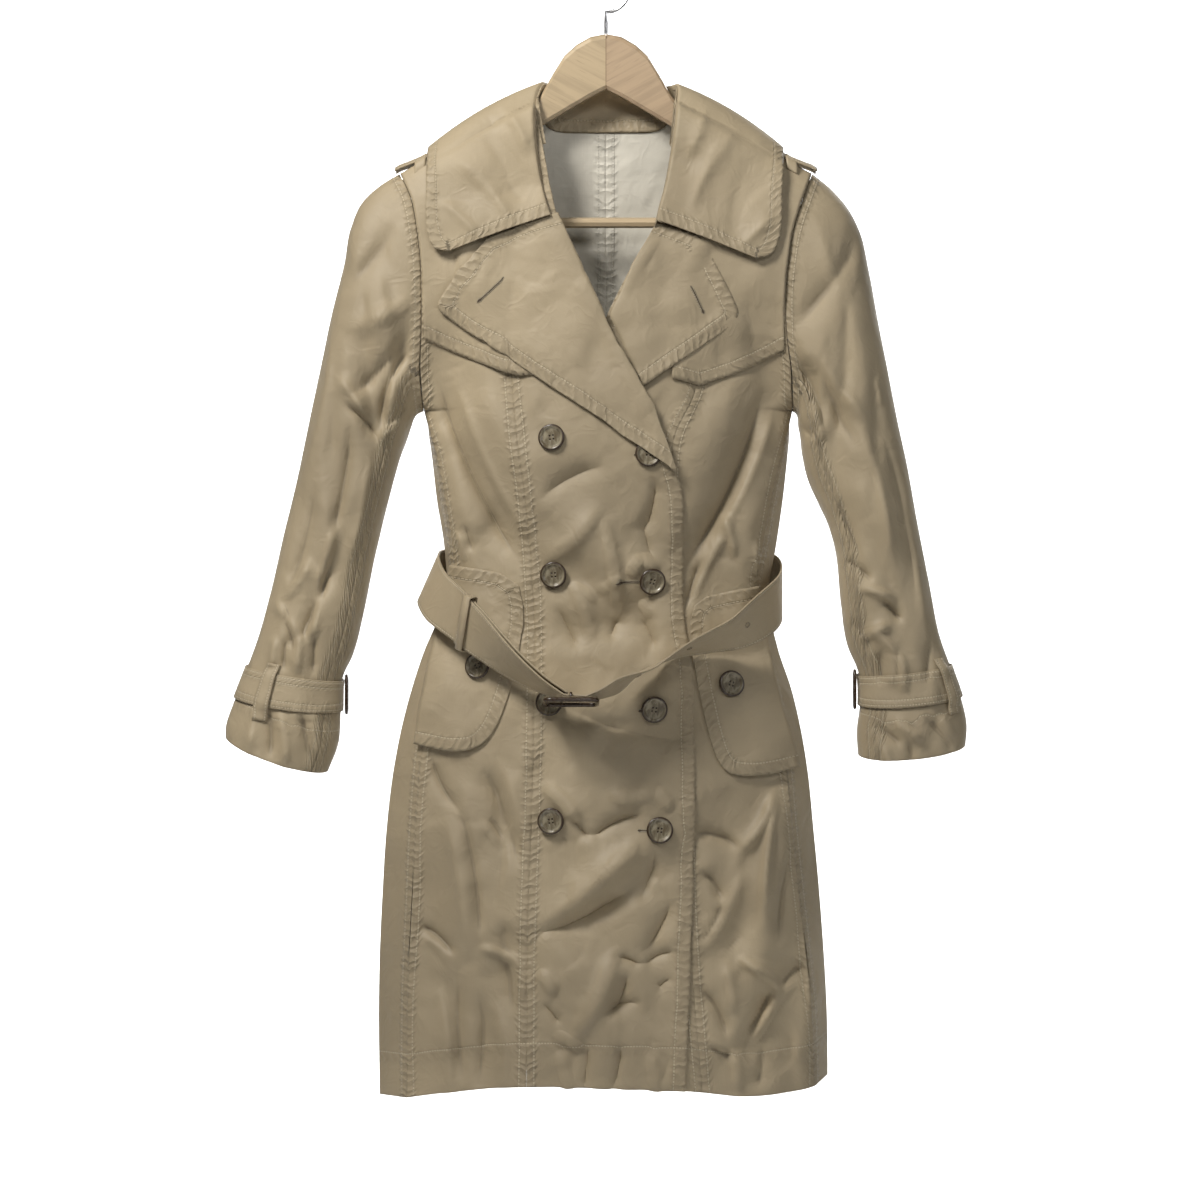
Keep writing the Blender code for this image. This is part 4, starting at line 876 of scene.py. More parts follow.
def sleeve_point(side, along, around, lift=0.0):
    """Point of a sleeve: around is 0 at its outer edge, 1 at its inner edge, over the
    front when positive and over the back when negative."""
    rows = SLEEVES[side]
    along, around = np.broadcast_arrays(np.asarray(along, float), np.asarray(around, float))
    value = {name: read(rows, name, along, "along") for name in rows if name != "along"}
    angle = around * np.pi
    inward, forward = (1 - np.cos(angle)) / 2, np.sin(angle)
    crease = fold_height(SLEEVE_FOLDS, along, around, ("along1", "around1", "along2", "around2"))
    look_x = mix(value["outer"], value["inner"], inward)
    look_drop = mix(value["outer_drop"], value["inner_drop"], inward)
    ahead = crease_height(SLEEVE_CREASES[side], look_x, look_drop)
    behind = crease_height(SLEEVE_CREASES[side], look_x, look_drop + 34.0) * 0.8
    crease = crease + 1.25 * np.where(around % 2 < 1, ahead, -behind) * np.abs(forward) ** 0.5
    crease = crease - crumple_depth(look_x * 1.4, look_drop * 0.8, 900.0 + 300.0 * (around % 2 > 1))
    crease = crease * ease(along, 0.0, 0.08)
    depth = value["depth"] + crease + lift
    width = value["inner"] - value["outer"]
    grow = lift * np.sign(width) * np.cos(angle)
    drop = look_drop + CUFF_DIP * forward * ease(along, 0.8, 1.0)
    flat = joined(look_x - grow, value["shift"] - depth * forward, drop)
    return flat + (armhole_point(side, angle) - first_ring(side, angle)) * (
        1 - ease(along, 0.0, 0.14))[..., None]


def first_ring(side, angle):
    """The plain oval that the armhole's true seam replaces."""
    rows = SLEEVES[side]
    inward = (1 - np.cos(angle)) / 2
    x = mix(rows["outer"][0], rows["inner"][0], inward)
    drop = mix(rows["outer_drop"][0], rows["inner_drop"][0], inward)
    return joined(x, -rows["depth"][0] * np.sin(angle), drop)


def armhole_point(side, angle):
    """The armhole's seam, on the body's edge, a gap further out."""
    drop = mix(SHOULDER_DROP, ARMPIT_DROP, (1 - np.cos(angle)) / 2)
    x = extent(side, drop)
    top = ridge(x)
    part = np.clip((drop - top) / (ARMPIT_DROP - top), 0, 1)
    gap = 2 * SEAM + WALL * ease(drop, 320, ARMPIT_DROP)
    y = -np.sign(np.sin(angle)) * bulge(part)
    return joined(x + SIDES[side] * gap, y, drop)


def world(points):
    """From x, y and drop in mm to x, y and z in metres."""
    return np.asarray(points, float) * (MM, MM, -MM)


def flap_lift(plan, under):
    """A storm flap lies on the front, with more room where that rolls over the shoulder."""
    below = plan[..., 1] - ridge(plan[..., 0])
    raised = under * (1 - ease(np.abs(plan[..., 0]), 88, 115))
    return PITCH + raised + 0.4 + 0.5 * (1 - ease(below, 12, 70))


def pocket_lift(plan):
    """A pocket flap lies flat at its front edge and stands off the round of the side."""
    return PITCH + 3.2 * ease(np.abs(plan[..., 0]), 95, 140)


def lapel_lift(plan, edge, layers):
    """A lapel stands higher along its roll line than over its storm flap."""
    away = np.abs(plan[..., 0] - read(edge, "x", plan[..., 1]))
    low = ease(plan[..., 1], 380, 450)
    roll = 2.2 * np.exp(-((away - 7) / 9) ** 2) * ease(plan[..., 1], 235, 265)
    return layers * PITCH + roll + 1.2 * low


def clear_of_body(points, lift):
    """Move points out of the body's layers, to the front or to the back."""
    x, y, drop = points[..., 0], points[..., 1], points[..., 2]
    under = np.maximum(drop - ridge(x), 0)
    lift = lift + 5.0 * (1 - ease(under, 5, 60))
    front = front_point(x, np.maximum(drop, ridge(x) + 0.5), 0.0)[..., 1] - lift
    turn = 2 - turn_at(x, drop)
    back = body_base(turn, np.maximum(drop, ridge(x) + 0.5))[..., 1] + lift
    ahead = np.where((y <= 0) & (under > 3), np.minimum(y, front), y)
    behind = np.where((y > 0) & (under > 3), np.maximum(y, back), ahead)
    return joined(x, behind, drop)


def neckline(edge, drops, inward):
    """Places just inside a front's neck edge, where the collar's stand begins."""
    drops = np.array(drops, float)
    return front_point(read(edge, "x", drops), drops, 0.0) + np.array([inward * 3.0, 0.6, -0.5])


def belt_points(at):
    """Centre, width direction and outward direction of the belt at places along it."""
    centre = along_rows(BELT, "x y drop", at)
    for edge in (-BELT_WIDTH / 2, 0, BELT_WIDTH / 2):
        level = centre[:, 2] + edge
        back = body_base(2 - turn_at(centre[:, 0], level), level)[:, 1] + 3.2
        behind = (centre[:, 1] > 24) & (np.abs(centre[:, 0]) < 135)
        centre[:, 1] = np.where(behind, np.maximum(centre[:, 1], back), centre[:, 1])
    lean, tip = np.transpose(along_rows(BELT, "lean tip", at))
    lean = np.radians(lean)
    wide = joined(tip, -np.sin(lean), -np.cos(lean))
    wide /= np.linalg.norm(wide, axis=-1, keepdims=True)
    ahead = along_rows(BELT, "x y drop", at + 0.05) - along_rows(BELT, "x y drop", at - 0.05)
    out = np.cross(ahead, wide)
    out /= np.linalg.norm(out, axis=-1, keepdims=True)
    return centre, wide, out


def ring(centre, wide, out, along, half_wide, inner, outer, half_long):
    """Grid of a closed band round a strap, seen along the strap."""
    corners = ((-1, 0.15), (-0.96, 0), (0, 0), (0.96, 0), (1, 0.15), (1, 0.85), (0.96, 1),
               (0, 1), (-0.96, 1), (-1, 0.85))
    loop = [centre + wide * (share * half_wide) + out * mix(inner, outer, rise)
            for share, rise in corners]
    return np.array([loop - along * half_long, loop + along * half_long])


# ---- grids and their sewing


FAR = 200.0  # distance given to places with no seam near them


def measure(points):
    """Length across and down a grid of points."""
    step = np.linalg.norm(np.diff(points, axis=1), axis=-1)
    fall = np.linalg.norm(np.diff(points, axis=0), axis=-1)
    across_grid = np.pad(np.cumsum(step, axis=1), ((0, 0), (1, 0)))
    down_grid = np.pad(np.cumsum(fall, axis=0), ((1, 0), (0, 0)))
    return across_grid, down_grid


def near_sides(points, sides):
    """Distance to the nearest of a grid's named sides, and how far along it."""
    wide, high = measure(points)
    reach = {"left": wide, "right": wide[:, -1:] - wide, "top": high, "bottom": high[-1:] - high}
    run = {"left": high, "right": high, "top": wide, "bottom": wide}
    best = np.full(points.shape[:2], FAR)
    along = np.zeros_like(best)
    for side in sides.split():
        closer = reach[side] < best
        best = np.where(closer, reach[side], best)
        along = np.where(closer, run[side], along)
    return best, along


def near_outline(plan, path):
    """Distance of a flap's points to a run of points on its edge, and how far along it."""
    path = np.array(path, float)
    best = np.full(plan.shape[:2], FAR)
    along = np.zeros_like(best)
    before = 0.0
    for start, end in zip(path[:-1], path[1:]):
        length = np.linalg.norm(end - start)
        part = np.clip(((plan - start) @ (end - start)) / length**2, 0, 1)
        away = np.linalg.norm(plan - (start + part[..., None] * (end - start)), axis=-1)
        closer = away < best
        best = np.where(closer, away, best)
        along = np.where(closer, before + part * length, along)
        before += length
    return best, along


def cell_corners(values):
    """The four corners of each cell of a grid."""
    return np.stack([values[:-1, :-1], values[1:, :-1], values[1:, 1:], values[:-1, 1:]], axis=2)


def grid_mesh(name, points, sewing, closed=False):
    """Surface through a grid, with the cloth's own length across and down as its UV map."""
    rows, columns = points.shape[:2]
    index = np.arange(rows * columns).reshape(rows, columns)
    loop = np.concatenate([points, points[:, :1]], axis=1) if closed else points
    index = np.concatenate([index, index[:, :1]], axis=1) if closed else index
    wide, high = measure(loop)
    cloth_map = joined(wide, -high) * MM
    mesh = bpy.data.meshes.new(name)
    faces = cell_corners(index).reshape(-1, 4)
    mesh.from_pydata(world(points).reshape(-1, 3), [], faces.tolist())
    layer = mesh.uv_layers.new(name="cloth")
    layer.data.foreach_set("uv", cell_corners(cloth_map).reshape(-1).astype(np.float32))
    for kind in ("felled", "stitched", "hemmed"):
        near, run = sewing.get(kind, (FAR, 0.0))
        place = np.zeros((rows, columns, 3), np.float32)
        place[..., 0] = near
        place[..., 1] = run
        values = mesh.attributes.new(kind, "FLOAT_VECTOR", "POINT")
        values.data.foreach_set("vector", place.reshape(-1))
    mesh.shade_smooth()
    return mesh


def link(name, data):
    made = bpy.data.objects.new(name, data)
    bpy.context.scene.collection.objects.link(made)
    return made


def cloth(node, points, sewing, look="khaki_cloth", thickness=WALL, closed=False,
          back="pale_wrong_side"):
    """A piece of cloth that stands for a node: a grid of points, thickened outward."""
    piece = link(f"{node}_cloth", grid_mesh(f"{node}_cloth", points, sewing, closed))
    piece.data.materials.append(finish_named(look))
    piece.data.materials.append(finish_named(back))
    wall = piece.modifiers.new("Wall", "SOLIDIFY")
    wall.thickness = thickness * MM
    wall.offset = 1
    wall.use_even_offset = False
    wall.material_offset = 1
    piece.cycles.shadow_terminator_offset = 0.15
    piece.cycles.shadow_terminator_geometry_offset = 0.3
    if "felled" in sewing:
        level = piece.modifiers.new("Level shading", "WEIGHTED_NORMAL")
        level.mode = "FACE_AREA"
        level.weight = 100
    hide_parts(node)
    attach(piece, "root")
    wide, high, share, held = cut_of(node)
    return piece


def strap(node, points, sides="", look="khaki_strap", thickness=WALL, closed=False,
          back="khaki_strap"):
    """A strap or a loop, topstitched along the named sides of its grid."""
    sewing = {"stitched": near_sides(points, sides)} if sides else {}
    return cloth(node, points, sewing, look, thickness, closed, back)


def hard(name, data, look, nodes=()):
    """A hard or sewn-on piece, in place of the nodes it stands for."""
    piece = link(name, data)
    piece.data.materials.append(finish_named(look))
    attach(piece, "root")
    if nodes:
        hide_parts(*nodes)
    return piece


# ---- the body


def facing_out(side, points):
    """A grid with its columns turned round on the left side, so that it faces outward too."""
    return points if side == "right" else points[:, ::-1]


def row_parts(rows):
    """Part of the way from the shoulder to the armpit of each row, closer together above."""
    even = np.arange(rows + 1) / rows
    return mix(even, (1 - np.cos(np.pi * even)) / 2, 0.5)


def steps(length, step):
    return max(2, int(round(length / step)))


def spaced(start, end, length, step):
    """Even places from start to end, about a step apart over a length."""
    return np.linspace(start, end, steps(length, step) + 1)


def rows_below(step):
    """Drops of the rows from the armpit to the hem."""
    return spaced(ARMPIT_DROP, HEM_DROP, HEM_DROP - ARMPIT_DROP, step)[1:]


def down_to_hem(levels, turn, below):
    """Grid of the rows above the armpit and those below it, which follow the hem's sway."""
    shift = (hem(turn) - HEM_DROP) * ease(below, SWAY_DROP, HEM_DROP)[:, None]
    return np.concatenate([np.array(levels), joined(turn, below[:, None] + shift)])


def panel(left_x, right_x, left_top, right_top, width, step, lift=None):
    """Grid of a front panel between two seams given as x by drop."""
    parts = spaced(0, 1, width, step)
    ends = (turn_at(left_x(left_top), left_top), turn_at(right_x(right_top), right_top))
    top_turn = mix(ends[0], ends[1], parts)
    top_drop = mix(np.full_like(parts, left_top), right_top, parts)
    for _ in range(6):
        top_drop = ridge(body_base(top_turn, top_drop)[..., 0]) + 0.01
    levels = []
    for part in row_parts(steps(CHEST_LENGTH, step)):
        drop = mix(top_drop, ARMPIT_DROP, part)
        start = turn_at(left_x(drop[0]), drop[0])
        end = turn_at(right_x(drop[-1]), drop[-1])
        levels.append(joined(mix(start, end, parts), drop))
    below = rows_below(step)
    start, end = turn_at(left_x(below), below), turn_at(right_x(below), below)
    grid = down_to_hem(levels, mix(start[:, None], end[:, None], parts[None, :]), below)
    lifts = 0.0 if lift is None else lift(grid)
    return body_point(grid[..., 0], grid[..., 1], lifts)


def back_grid(side, step):
    """Grid of half the back, from its side seam on the front to the centre-back seam."""
    parts = spaced(0, 1, 215, step) ** 0.9
    sign = SIDES[side]
    x_side = side_seam(side)
    neck_part = 0.62
    reach = np.where(parts < neck_part, parts / neck_part, 1)
    shoulder_x = mix(SHOULDER_HALF - 1, NECK_HALF, reach)
    inner = np.clip((parts - neck_part) / (1 - neck_part), 0, 1)
    x_top = sign * np.where(parts < neck_part, shoulder_x, mix(NECK_HALF, 0.0, inner))
    top_drop = neck_drop(x_top) + 0.01
    levels = []
    for part in row_parts(steps(CHEST_LENGTH, step)):
        drop = mix(top_drop, ARMPIT_DROP, part)
        edge = extent(side, drop[0]) - sign * SIDE_GAP
        x = x_top + (mix(edge, 0.0, parts) - x_top) * ease(part, 0.0, 0.9)
        x[0] = edge
        levels.append(joined(2 - turn_at(x, drop), drop))
    below = rows_below(step)
    start = turn_at(x_side(below) + 2 * SIDE_GAP * sign, below) + (0 if side == "left" else 4)
    edge_turn = levels[-1][0, 0]
    spread = ((levels[-1][:, 0] - CENTRE_BACK) / (edge_turn - CENTRE_BACK))[None, :]
    turn = mix(CENTRE_BACK, edge_turn, spread) + (start[:, None] - edge_turn) * spread**14
    grid = down_to_hem(levels, np.where(turn > 3, turn - 4, turn), below)
    points = body_point(grid[..., 0], grid[..., 1])
    return points if side == "left" else points[:, ::-1]


def body_sewing(points, felled, stitched=""):
    return {
        "felled": near_sides(points, felled),
        "stitched": near_sides(points, stitched),
        "hemmed": near_sides(points, "bottom"),
    }


def make_fronts(step):
    """The two centre fronts and the two side fronts."""
    over = panel(seam_curve(PRINCESS, "right", PRINCESS_GAP), seam_curve(OVER_EDGE, "x", 0),
                 PRINCESS_TOP, RIDGE_DROP, 135, step, over_lift)
    cloth("front_centre_right", over, body_sewing(over, "left", "right"))

    def height(places):
        turn = turn_at(places[..., 0], places[..., 1])
        return over_lift(joined(turn, places[..., 1]))

    holes = ((25, 51, 442), (8, 36, 556), (28, 54, 670), (29, 55, 779))
    for index, (start, end, drop) in enumerate(holes):
        buttonhole(f"front_buttonhole_{index + 1}", (end, drop), (start, drop + 1), height)
    under = panel(seam_curve(UNDER_EDGE, "x", 0), seam_curve(PRINCESS, "left", -PRINCESS_GAP),
                  RIDGE_DROP, PRINCESS_TOP, 120, step)
    cloth("front_centre_left", under, body_sewing(under, "right", "left"))
    side = panel(side_seam("right"), seam_curve(PRINCESS, "right", -PRINCESS_GAP),
                 SHOULDER_DROP, PRINCESS_TOP, 105, step)
    cloth("front_side_right", side, body_sewing(side, "left right"))
    side = panel(seam_curve(PRINCESS, "left", PRINCESS_GAP), side_seam("left"),
                 PRINCESS_TOP, SHOULDER_DROP, 105, step)
    cloth("front_side_left", side, body_sewing(side, "left right"))


def make_backs(step):
    """The two halves of the back."""
    for side in SIDES:
        points = back_grid(side, step)
        cloth(f"back_{side}", points, body_sewing(points, "left right"))


# ---- the sleeves


def make_sleeves(step):
    """Two panels for each sleeve: the upper one over the outer edge, the under one."""
    for side in SIDES:
        for part, first, last in SLEEVE_PANELS:
            around = spaced(first, last, SLEEVE_ROUND * (last - first), step)
            around[0] += SLEEVE_SEAM
            around[-1] -= SLEEVE_SEAM
            along = spaced(0, 1, SLEEVE_LENGTH, step)[:, None]
            points = facing_out(side, sleeve_point(side, along, around[None, :]))
            sewing = {
                "felled": near_sides(points, "left right top"),
                "hemmed": near_sides(points, "bottom"),
            }
            cloth(f"sleeve_{part}_{side}", points, sewing)


# ---- flaps, lapels and collar


def rounded(line, times=3):
    """A line with its corners cut round."""
    for _ in range(times):
        inner = []
        for start, end in zip(np.array(line[:-1], float), np.array(line[1:], float)):
            inner += [tuple(mix(start, end, 0.25)), tuple(mix(start, end, 0.75))]
        line = [line[0], *inner, line[-1]]
    return line


def laid(node, plan, lift_of, edge):
    """A flap laid on the front, topstitched along its free edge; returns its height there."""
    def height(places):
        near = near_outline(places, edge)[0]
        own = 0.6 + 3.4 * uneven(places[..., 0], places[..., 1], 38.0, len(node))
        return lift_of(places) + np.clip(own, 0, 2.4) * ease(near, 2, 24)

    points = front_point(plan[..., 0], plan[..., 1], height(plan))
    cloth(node, points, {"stitched": near_outline(plan, edge)})
    return height


def buttonhole(name, start, end, height):
    """Thread worked round a slit with an eyelet at its end, on a surface of a given height."""
    start, end = np.array(start, float), np.array(end, float)
    run = (end - start) / np.linalg.norm(end - start)
    side = np.array([-run[1], run[0]])
    along = np.linspace(0, 1, 40)
    eyelet = np.exp(-(((along - 0.93) / 0.05) ** 2)) * 0.9
    closed = np.sqrt(np.clip(1 - ((along - 0.5) / 0.5) ** 8, 0, 1))
    rows, lifts = [], []
    for reach, lift in ((-1.5, 0.02), (-1.1, 0.35), (-0.4, 0.25), (0.4, 0.25), (1.1, 0.35),
                        (1.5, 0.02)):
        wide = (reach + np.sign(reach) * eyelet) * closed
        rows.append(start + along[:, None] * (end - start) + wide[:, None] * side)
        lifts.append(np.full(along.shape, lift))
    plan, lifts = np.array(rows), np.array(lifts)
    points = front_point(plan[..., 0], plan[..., 1], height(plan) + WALL + lifts)
    mesh = grid_mesh(name, points, {})
    piece = hard(name, mesh, "sewing_thread")
    piece.data.materials.append(finish_named("dark_slit"))
    shades = np.zeros((plan.shape[0] - 1, plan.shape[1] - 1), np.int32)
    shades[2] = 1
    mesh.polygons.foreach_set("material_index", shades.reshape(-1))


def make_storm_flaps(step):
    """The loose flaps over both sides of the chest."""
    shoulder = [(x, float(ridge(x)) + 4.0) for x in (184, 160, 130, 100, 76)]
    drops = (192, 215, 245, 280, 310)
    columns, rows = steps(110, step), steps(200, step)
    armhole = [(float(extent("right", np.float64(d))) + 1.2, d) for d in drops]
    bottom = [(-165, 337), (-130, 352), (-95, 367), (-76, 372), (-56, 371)]
    plan = patch([(-x, drop) for x, drop in shoulder], bottom,
                 [(-184, shoulder[0][1])] + armhole + [bottom[0]],
                 [(-76, shoulder[-1][1]), (-70, 230), (-58, 330), bottom[-1]], columns, rows, 1.6)
    laid("storm_flap_right", plan, lambda places: flap_lift(places, OVERLAP_LIFT), bottom)
    armhole = [(float(extent("left", np.float64(d))) - 1.2, d) for d in drops]
    bottom = [(58, 374), (84, 381), (116, 370), (162, 347)]
    plan = patch([(x, drop) for x, drop in reversed(shoulder)], bottom,
                 [(76, shoulder[-1][1]), (70, 230), (62, 330), bottom[0]],
                 [(184, shoulder[0][1])] + armhole + [bottom[-1]], columns, rows, 1.6)
    laid("storm_flap_left", plan, lambda places: flap_lift(places, 0.4), bottom)


def make_lapels(step):
    """The turned-back fronts below the collar."""
    top = [(-108, 249), (-71, 234), (-43.5, 226)]
    corner = rounded([(-142, 291.7), (-146, 297), (-154, 309), (-140, 319), (-134, 323.1)])
    outer = [(-108, 249), *corner, (60, 456.5)]
    roll = [(-43.5, 226), (-2, 317), (24, 366), (44, 403), (62.5, 456.5)]
    plan = patch(top, [(60, 456.5), (62.5, 456.5)], outer, roll, steps(100, step), steps(250, step))
    height = laid("lapel_right", plan, lambda places: lapel_lift(places, OVER_EDGE, 3.7),
                  top[::-1] + outer[1:])
    buttonhole("lapel_right_buttonhole", (-91, 283), (-115, 305), height)
    top = [(45.5, 233), (82, 246)]
    corner = rounded([(103, 281), (112, 298.5), (118.5, 314), (115, 323), (110, 327)])
    outer = [(82, 246), (88, 253), *corner]
    bottom = [(33.5, 382), (110, 327)]
    plan = patch(top, bottom, [(45.5, 233), (22.5, 274), (4, 318), (33.5, 382)], outer,
                 steps(95, step), steps(110, step))
    height = laid("lapel_left", plan, lambda places: lapel_lift(places, UNDER_EDGE, 2.2),
                  top + outer[1:] + bottom[:1])
    buttonhole("lapel_left_buttonhole", (75, 291), (87, 316), height)


def make_pocket_flaps(step):
    """The pockets' large flaps, each buttoned near its front edge."""
    sizes = steps(100, step), steps(160, step)
    top = [(-137, 541), (-94, 549), (-78, 560), (-74, 577)]
    bottom = rounded([(-170, 703), (-125, 711), (-100, 696), (-84, 650), (-77, 612)])
    front = [(-74, 577), (-74, 595), (-77, 612)]
    plan = patch(top, bottom, [(-137, 541), (-153, 610), (-170, 703)], front, *sizes)
    laid("pocket_flap_right", plan, pocket_lift, top + front[1:] + bottom[-2::-1])
    top = [(75, 592), (79, 578), (90, 570), (134, 560)]
    bottom = rounded([(80, 640), (98, 724), (124, 733), (172, 724)])
    front = [(75, 592), (75.5, 615), (80, 640)]
    plan = patch(top, bottom, front, [(134, 560), (148, 640), (172, 724)], *sizes)
    laid("pocket_flap_left", plan, pocket_lift, top[::-1] + front[1:] + bottom[1:])


def collar_grid(columns, across_parts):
    """Grid of the collar's fall from its roll line (first row) to its rim (last row)."""
    at = np.linspace(0, len(COLLAR["lift"]) - 1, columns + 1)
    roll = along_rows(COLLAR, "roll_x roll_y roll_drop", at)
    rim = along_rows(COLLAR, "rim_x rim_y rim_drop", at)
    middle = (roll + rim) / 2 - along_rows(COLLAR, "lift", at) * (0, 0, 1)
    grid = []
    for part in across_parts:
        curve = (1 - part) ** 2 * roll + 2 * part * (1 - part) * middle + part**2 * rim
        grid.append(clear_of_body(curve, COLLAR_LAYER * PITCH))
    return np.array(grid)


# Crisp creases of the collar, as they lie from the front
COLLAR_CREASES = table(CREASE_COLUMNS, (
    (-136, 176, -84, 236, 9, 2.6, 6),
    (-112, 150, -76, 214, 8, -2.2, 6),
    (-150, 214, -112, 250, 7, 2, 3),
    (-92, 130, -70, 170, 7, 2.2, 3),
    (118, 150, 76, 226, 9, 2.6, -6),
    (146, 178, 112, 244, 8, -2.2, -6),
    (150, 226, 118, 256, 7, 2, 2),
    (90, 128, 72, 176, 7, 2.2, 3),
))


def make_collar(step):
    """The fall, and the stand that joins it to the neck."""
    points = collar_grid(steps(COLLAR_LENGTH, step), spaced(0, 1, COLLAR_WIDTH, step))
    x, y, drop = points[..., 0], points[..., 1], points[..., 2]
    waves = 1.4 + 3.4 * uneven(x + 0.6 * drop, drop - 0.5 * x, 46.0, 3.0)
    waves = waves + crease_height(COLLAR_CREASES, x, drop) * (y < 0)
    points[..., 1] += np.tanh(y / 16) * np.clip(waves, -0.4, 6)
    sewn = near_sides(points, "left right bottom")
    fold = points[0]
    inner = fold * np.array([0.945, 0.86, 1.0]) + np.array([0.0, 0.0, 6.0])
    bend = [mix(inner, fold, part) - np.array([0.0, 0.0, 4.0]) * part * (1 - part) * 2
            for part in (0.0, 0.3, 0.6, 0.85)]
    points = np.concatenate([np.array(bend), points])
    sewn = tuple(np.pad(part, ((4, 0), (0, 0)), mode="constant", constant_values=FAR)
                 for part in sewn)
    cloth("collar", points, {"stitched": sewn}, back="khaki_cloth")
    right = neckline(OVER_EDGE, (162, 150, 138, 127), 1)
    left = neckline(UNDER_EDGE, (127, 138, 150, 162), -1)
    x = np.linspace(-63, 63, 11)
    neck = neck_drop(x) - 0.8
    behind = body_base(2 - turn_at(x, neck), neck) - np.array([0, 0.8, 0])
    side = np.array([[NECK_HALF - 0.1, 0.0, RIDGE_DROP - 2.8]])
    foot = np.concatenate([right, side * (-1, 1, 1), behind, side, left])
    at = np.concatenate([(2.9, 3.3, 3.7, 4.2, 5.0), np.linspace(5.5, 10.5, 11),
                         (11.0, 11.8, 12.3, 12.7, 13.1)])
    roll = along_rows(COLLAR, "roll_x roll_y roll_drop", at)
    top = roll * np.array([0.962, 0.9, 1.0]) + np.array([0.0, 0.0, 2.0])
    fine = spaced(0, len(foot) - 1, 300, step)
    top, foot = smooth_line(top, fine), smooth_line(foot, fine)
    points = np.array([mix(top, foot, part) for part in spaced(0, 1, 40, step)])
    cloth("collar_stand", points, {"stitched": near_sides(points, "bottom")})


# ---- the belt


def worn_belt(at):
    """The belt's line with its left part tipped, so that its face looks down."""
    centre, wide, out = belt_points(at)
    x, y = centre[:, 0], centre[:, 1]
    tipped = np.radians(30) * ease(x, 6, 40) * (1 - ease(x, 100, 150)) * (y < 0)
    turn, lean = np.cos(tipped)[:, None], np.sin(tipped)[:, None]
    return centre, wide * turn + out * lean, out * turn - wide * lean


def make_belt(step):
    """One strap from the buckle round the waist and back through it, with its keeper."""
    last = len(BELT["x"]) - 1
    centre, wide, out = worn_belt(spaced(0, last, BELT_LENGTH, step))
    over, over_wide, over_out = belt_points(spaced(0.1, TONGUE_END, 110, step))
    over = over + over_out * BELT_LAYER
    path = np.concatenate([centre, over])
    width = np.concatenate([wide, over_wide])
    parts = spaced(1, -1, BELT_WIDTH, step)
    points = np.array([path + width * (part * BELT_WIDTH / 2) for part in parts])[:, ::-1]
    strap("belt", points, "left right top bottom", thickness=BELT_THICK)
    at = np.linspace(0, last, 3000)
    centre, wide, out = worn_belt(at)
    rings = []
    for x, drop in EYELETS:
        away = np.hypot(centre[:, 0] - x, centre[:, 2] - drop) + 500 * (centre[:, 1] > 0)
        best = int(np.argmin(away))
        along = np.cross(wide[best], out[best])
        middle = centre[best] + out[best] * (BELT_THICK + 0.2)
        turns = np.linspace(0, 2 * math.pi, 19)[:-1]
        rings.append([middle + EYELET_RADIUS * (math.cos(turn) * wide[best]
                                                + math.sin(turn) * along) for turn in turns])
    wire("belt_eyelets", rings, 0.55, "sewing_thread", (), True)
    hold, hold_wide, hold_out = (part[0] for part in belt_points(np.array([KEEPER_PLACE])))
    along = np.cross(hold_wide, hold_out)
    points = ring(hold, hold_wide, hold_out, along, BELT_WIDTH / 2 + 1.7, -1.7,
                  BELT_LAYER + BELT_THICK + 2.2, 4.0)
    strap("belt_keeper", points, thickness=THIN_WALL, closed=True)
    first, last = BELT_LOOP["drop"][[0, -1]]
    for side, place_turn in BELT_LOOP_TURNS.items():
        fine = spaced(first, last, last - first, step)
        lifts = read(BELT_LOOP, "lift", fine)
        turns = np.linspace(place_turn - 0.03, place_turn + 0.03, 5)
        drop_grid, turn_grid = np.meshgrid(fine, turns, indexing="ij")
        points = body_point(turn_grid, drop_grid, np.broadcast_to(lifts[:, None], drop_grid.shape))
        strap(f"belt_loop_{side}", points, "left right", back="pale_wrong_side")


# ---- epaulettes and cuff straps


def make_epaulettes(step):
    """A strap over each shoulder, raised off it, and the loop that holds its end."""
    tip, seam = EPAULETTE["x"][[0, -1]]
    half = EPAULETTE_HALF
    for side, sign in SIDES.items():
        x = spaced(tip, seam, 85, step)[::sign]
        lift = read(EPAULETTE, "lift", x, "x")
        grid_x, grid_y = np.meshgrid(sign * x, spaced(half, -half, 2 * half, step))
        drop = ridge(grid_x) - lift[None, :] + 4.0 * (grid_y / half) ** 2
        grid_y = grid_y * (0.6 + 0.4 * ease(np.abs(grid_x), tip, 165))
        points = joined(grid_x, grid_y, drop)
        strap(f"epaulette_{side}", points, "left right top bottom")
        fine = np.linspace(0, 1, 40)
        place = np.linspace(0, 1, len(EPAULETTE_LOOP["y"]))
        y, rise = (smooth(place, EPAULETTE_LOOP[name], fine) for name in ("y", "rise"))
        edge_x = sign * np.linspace(163.0, 173.0, 6)[::sign]
        points = np.array([joined(0 * y + at, y, ridge(0 * y + at) - rise) for at in edge_x])
        strap(f"epaulette_loop_{side}", points, thickness=THIN_WALL)


